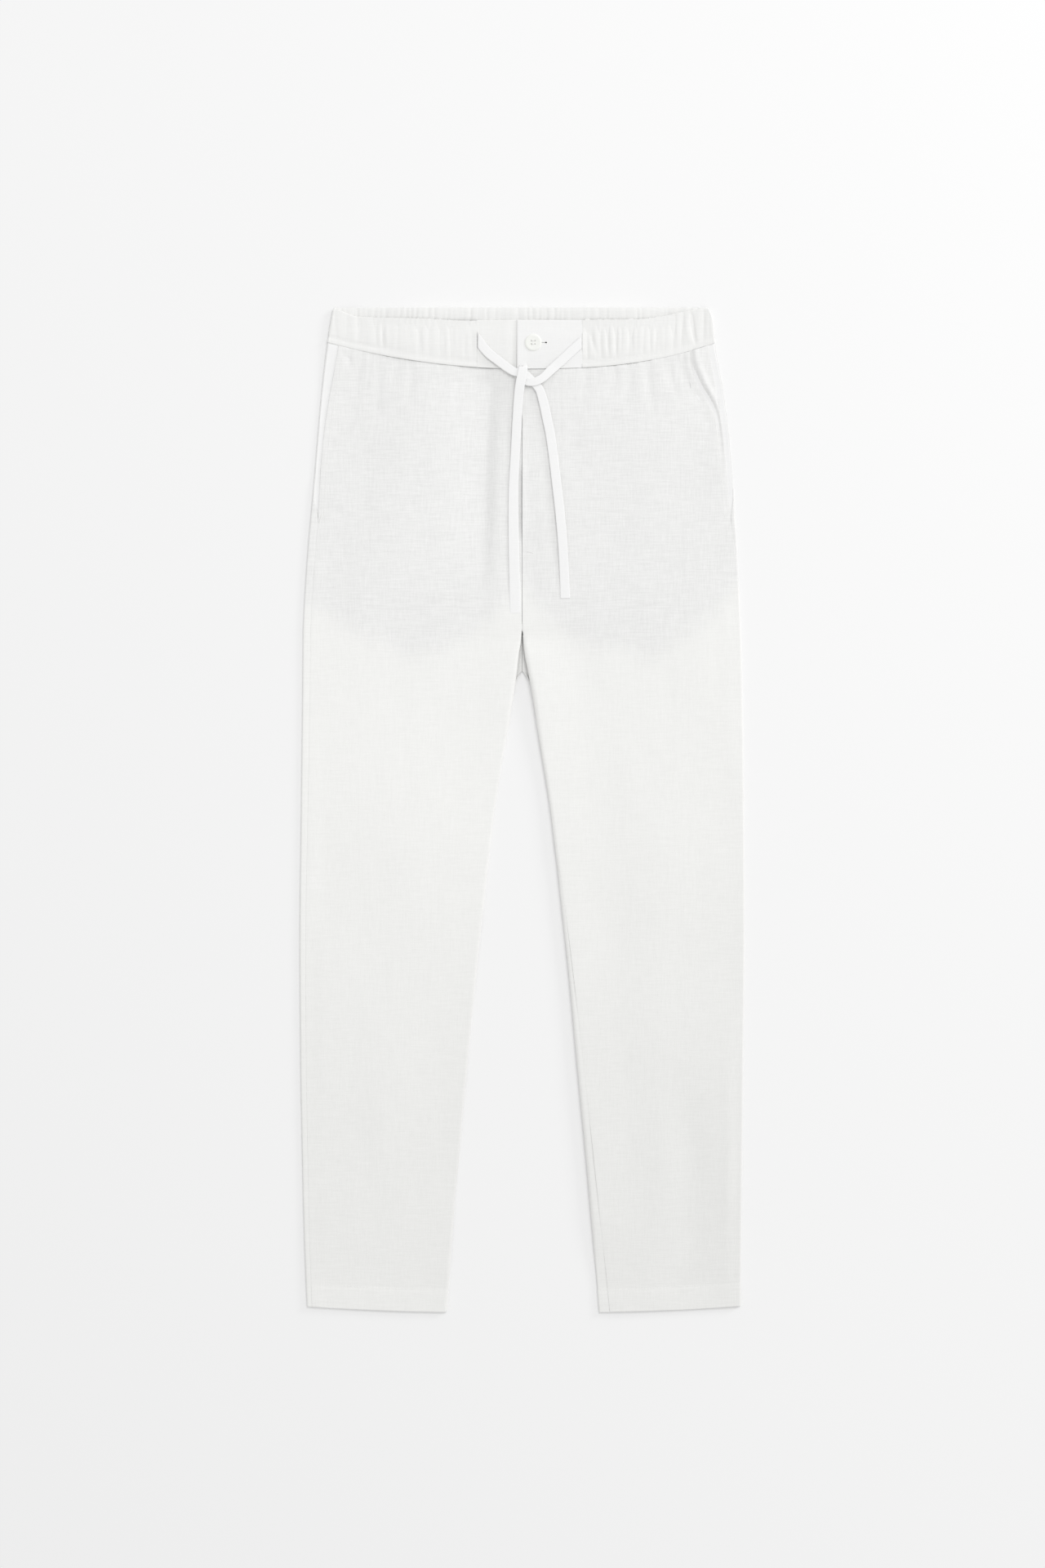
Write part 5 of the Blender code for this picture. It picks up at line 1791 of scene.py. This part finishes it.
# ---------------------------------------------------------------- drawstring
@dataclass
class Tape:
    """One free end of the flat woven drawstring, from its slit to its cut end."""

    node: str
    route: tuple[Route, ...]
    slit_side: int
    steps: int = 7
    around: int = 20
    squared: tuple[float, float] = (0.45, 0.55)  # how square the section is, across and up
    selvedge: float = 0.14  # how much thicker its edges are
    flatter: float = 0.92

    def line(self) -> Array:
        """Points and widths on a smooth curve through the route."""
        rows = np.array(self.route, float)
        ends = np.vstack([2 * rows[0] - rows[1], rows, 2 * rows[-1] - rows[-2]])
        found = []
        for a, b, c, d in zip(ends, ends[1:], ends[2:], ends[3:]):
            for k in range(self.steps):
                t = k / self.steps
                curve = 2 * b + (c - a) * t + (2 * a - 5 * b + 4 * c - d) * t**2
                found.append((curve + (3 * b - a - 3 * c + d) * t**3) / 2)
        last = rows[-1] + (found[-1] - rows[-1]) * LIP / np.linalg.norm(found[-1] - rows[-1])
        return np.array([*found, last, rows[-1]])

    def frames(self, line: Array) -> tuple[Array, Array]:
        """The half-width vector and the upward direction at each point of the line."""
        places = line[:, :3]
        ahead = np.gradient(places, axis=0)
        level = np.stack([-ahead[:, 1], ahead[:, 0], 0 * ahead[:, 0]], axis=1)
        across: list[Array] = []
        for i, turned in enumerate(level):
            steep = np.linalg.norm(turned) < 0.1 * np.linalg.norm(ahead[i])
            turned = across[-1] if steep else turned / np.linalg.norm(turned)
            if across and turned @ across[-1] < 0:
                turned = -turned
            across.append(turned)
        side = np.array(across)
        for _ in range(3):
            side[1:-1] = (side[:-2] + side[1:-1] + side[2:]) / 3
        side /= np.linalg.norm(side, axis=1)[:, None]
        up = np.cross(ahead, side)
        up /= np.linalg.norm(up, axis=1)[:, None]
        return side, up

    def slit(self, side: Array) -> Array:
        """Turns the first few widths so that the tape's end lies along its slit."""
        along = np.array([0.0, float(self.slit_side), 0.0])
        turned = side.copy()
        for i in range(self.steps):
            share = 1 - i / self.steps
            want = along * np.sign(along @ side[i]) / max(abs(float(along @ side[i])), 0.3)
            turned[i] = side[i] * (1 - share) + want * share
        return turned

    def skin(self, line: Array) -> Array:
        """The tape's points, as rows round its flat section by columns along it."""
        side, up = self.frames(line)
        side = self.slit(side)
        turn = np.linspace(0, 2 * np.pi, self.around + 1)[:, None, None]
        wide = np.sign(np.cos(turn)) * np.abs(np.cos(turn)) ** self.squared[0]
        high = np.sign(np.sin(turn)) * np.abs(np.sin(turn)) ** self.squared[1]
        half = line[None, :, 3:4] / 2
        edge = 1.0 + self.selvedge * np.abs(wide) ** 6
        rise = up[None] * (TAPE_CLOTH / 2 * self.flatter) * high * edge
        return line[None, :, :3] + side[None] * half * wide + rise

    def make(self) -> None:
        line = self.line()
        step = np.append(0, np.cumsum(np.linalg.norm(np.diff(line[:, :3], axis=0), axis=1))) * MM
        around = np.linspace(0, 2 * (TAPE_WIDTH + 1) * MM, self.around + 1)
        uv = np.stack(np.meshgrid(around, step, indexing="ij"), axis=-1)
        bm = Maker.grid(self.skin(line), uv, closed=True)
        bmesh.ops.holes_fill(bm, edges=[e for e in bm.edges if e.is_boundary], sides=0)
        bmesh.ops.recalc_face_normals(bm, faces=bm.faces)
        made = Maker.add(f"{self.node}_tape", bm)
        Maker.dress(made, TAPE.name, self.node, "tape")


# ---------------------------------------------------------------- sewing
@dataclass
class Sewing:
    """All the rows of stitches that show, on the fronts, the waistband and the hems."""

    inside_mouth: float = 6.0
    hem_under: float = 0.42  # how high the hem's stitches lie on the backs
    worked: int = 76  # stitches round the buttonhole's slit
    worked_eye: int = 18  # stitches round its eye
    worked_length: float = 1.1
    worked_width: float = 0.44

    def fly(self) -> None:
        """Sews the fly's curve and its bartack."""
        sewn = Stitcher()
        y = np.append(np.linspace(SEAM_LOW - 3, FLY_BEND, 30), FLY_BEND - np.linspace(2, 63.6, 40))
        sewn.row(seat(fly_out(y), y) + (0, 0, PROUD))
        spot = Vector(seat(np.array(8.4), np.array(264.5)))
        sewn.bar(spot, Vector((1, -0.25, 0)), 6.5, 1.6)
        sewn.make("fly_stitches")

    def mouths(self) -> None:
        """Sews along both pocket mouths, with a bartack at the foot of the right one."""
        sewn = Stitcher()
        for side in Side:
            y = np.linspace(466, 300, 60)
            form = Form(side, y)
            along = form.face - kept(SIDE_EDGE[side, Layer.FRONT](y)) - self.inside_mouth
            sewn.row(seat(form.at(along)[:, 0], y) + (0, 0, PROUD))
        spot = Vector(seat(np.array(-207.0), np.array(299.0)))
        sewn.bar(spot, Vector((0.3, 1, 0)), 9.0, 1.7)
        sewn.make("pocket_stitches")

    def hems(self) -> None:
        """Sews round both hems, on the fronts and the backs."""
        sewn = Stitcher(length=2.4, gap=0.9)
        at = np.array(HEM_INNER + HEM_DEPTH - HEM_STITCH)
        for side in Side:
            x = side.value * np.linspace(float(INNER[side](at)) + 1.5, float(OUTER[side](at)) - 1.8, 120)
            y = hem_edge(x) + HEM_DEPTH - HEM_STITCH
            sewn.row(seat(x, y) + (0, 0, PROUD))
            sewn.row(np.stack([x, y, 0 * x + self.hem_under], axis=-1))
        sewn.make("hem_stitches")

    def band(self, casing: Casing) -> None:
        """Sews the strip above the seam under the waistband."""
        sewn = Stitcher(length=2.3, gap=0.8)
        side, t = casing.columns()
        for keep, layer in ((t <= 0.985, Layer.FRONT), (t >= 2.0, Layer.BACK)):
            for s in Side:
                mine = keep & (side == s.value)
                sides, ts, rise = side[mine], t[mine], np.full(mine.sum(), WELT)
                x = casing.outside(sides, ts, np.full(mine.sum(), WAIST))[0][:, 0]
                y = waist_seam(x, layer) + WELT
                plain, out = casing.outside(sides, ts, y)
                lift = casing.lift(sides, ts, plain[:, 0], y, rise / 48, rise)
                sewn.row(plain + out * (lift + PROUD)[:, None])
        sewn.make("waistband_stitches")

    def buttonhole(self) -> None:
        """Works the buttonhole: close stitches standing out from its edge all round."""
        sewn = Stitcher()
        long = (BUTTONHOLE[1] - BUTTONHOLE[0]) / 2
        middle = Vector((sum(BUTTONHOLE) / 2, BUTTON_AT[1], LEFT_TAB_Z - 0.02))
        for k in range(self.worked):
            turn = 2 * math.pi * k / self.worked
            edge = middle + Vector((math.cos(turn) * (long + 0.1), math.sin(turn) * 0.25, 0))
            eye = edge - Vector((EYE_AT, BUTTON_AT[1], middle.z))
            if math.hypot(eye.x / EYE_HALF[0], eye.y / EYE_HALF[1]) < 1:
                continue
            out = Vector((math.cos(turn) * 0.5, math.sin(turn) * 1.4, 0)).normalized()
            sewn.one(edge, edge + out * self.worked_length, self.worked_width)
        for k in range(self.worked_eye):
            turn = 2 * math.pi * (k + 0.5) / self.worked_eye
            out = Vector((math.cos(turn), math.sin(turn), 0))
            edge = Vector((EYE_AT + out.x * 1.35, BUTTON_AT[1] + out.y * 0.9, middle.z))
            if out.x > -0.8:
                sewn.one(edge, edge + out * self.worked_length, self.worked_width)
        sewn.make("buttonhole_stitches")

    def make(self, casing: Casing) -> None:
        """Sews everything."""
        self.fly()
        self.mouths()
        self.hems()
        self.band(casing)
        self.buttonhole()


# ---------------------------------------------------------------- studio
@dataclass
class Studio:
    """The camera overhead, the floor and the soft light."""

    view_height: float = 1.6090  # metres of floor in the tall side of the view
    centre: tuple[float, float] = (0.0004, 0.0268)
    lens: float = 100.0
    sensor: float = 36.0
    garment: float = 0.004  # the height that the view is measured at
    floor_half: float = 6.0
    floor_z: float = -0.0003
    surround: float = 0.706

    def camera(self) -> None:
        """Sets the camera straight above."""
        data = bpy.data.cameras.new("camera")
        data.sensor_fit = "VERTICAL"
        data.sensor_height = self.sensor
        data.lens = self.lens
        data.clip_end = 100.0
        made = bpy.data.objects.new("camera", data)
        made.location = (*self.centre, self.view_height * self.lens / self.sensor + self.garment)
        bpy.context.scene.collection.objects.link(made)
        bpy.context.scene.camera = made

    def floor(self) -> None:
        """Lays the floor."""
        bm = bmesh.new()
        bmesh.ops.create_grid(bm, x_segments=8, y_segments=8, size=self.floor_half)
        bmesh.ops.translate(bm, vec=(0, 0, self.floor_z), verts=bm.verts)
        made = Maker.add("floor", bm)
        made.data.materials.append(FINISHES[PAPER.name])
        made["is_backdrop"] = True

    @staticmethod
    def light(name: str, at: Vector, size: float, watts: float) -> None:
        """Hangs one square softbox, turned towards the middle of the floor."""
        data = bpy.data.lights.new(name, "AREA")
        data.shape = "SQUARE"
        data.size = size
        data.energy = watts
        made = bpy.data.objects.new(name, data)
        made.location = at
        made.rotation_euler = (-at).to_track_quat("-Z", "Y").to_euler()
        bpy.context.scene.collection.objects.link(made)

    def lights(self) -> None:
        """Sets the even surround and the two softboxes."""
        world = bpy.data.worlds.new("surround")
        world.use_nodes = True
        surround = world.node_tree.nodes["Background"]
        surround.inputs["Color"].default_value = (1.0, 1.0, 1.0, 1.0)
        surround.inputs["Strength"].default_value = self.surround
        bpy.context.scene.world = world
        self.light("key", Vector((1.8, 2.6, 5.0)), 2.6, 86.0)
        self.light("side", Vector((3.8, 2.3, 1.4)), 1.0, 38.0)

    def make(self) -> None:
        """Sets up everything."""
        self.camera()
        self.floor()
        self.lights()
        bpy.context.scene.view_settings.view_transform = "Standard"


# ---------------------------------------------------------------- the trousers
def main() -> None:
    """Builds the studio and every piece."""
    for finish in ALL_FINISHES:
        FINISHES[finish.name] = finish.make()
    Studio().make()
    casing = Casing()
    pockets = (Pocket(Side.LEFT, 0.85), Pocket(Side.RIGHT, 1.0))
    tapes = (Tape("drawstring_left", ROUTE_LEFT, 1), Tape("drawstring_right", ROUTE_RIGHT, -1))
    for piece in (*tapes, *PANELS, *pockets, *FLY, casing, Tabs(), Button()):
        piece.make()
    Sewing().make(casing)
    boxes = {"cad": CAD_BOX, "visual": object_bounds()}
    {name: [list(corner) for corner in box] for name, box in boxes.items()}


if __name__ == "__main__":
    main()
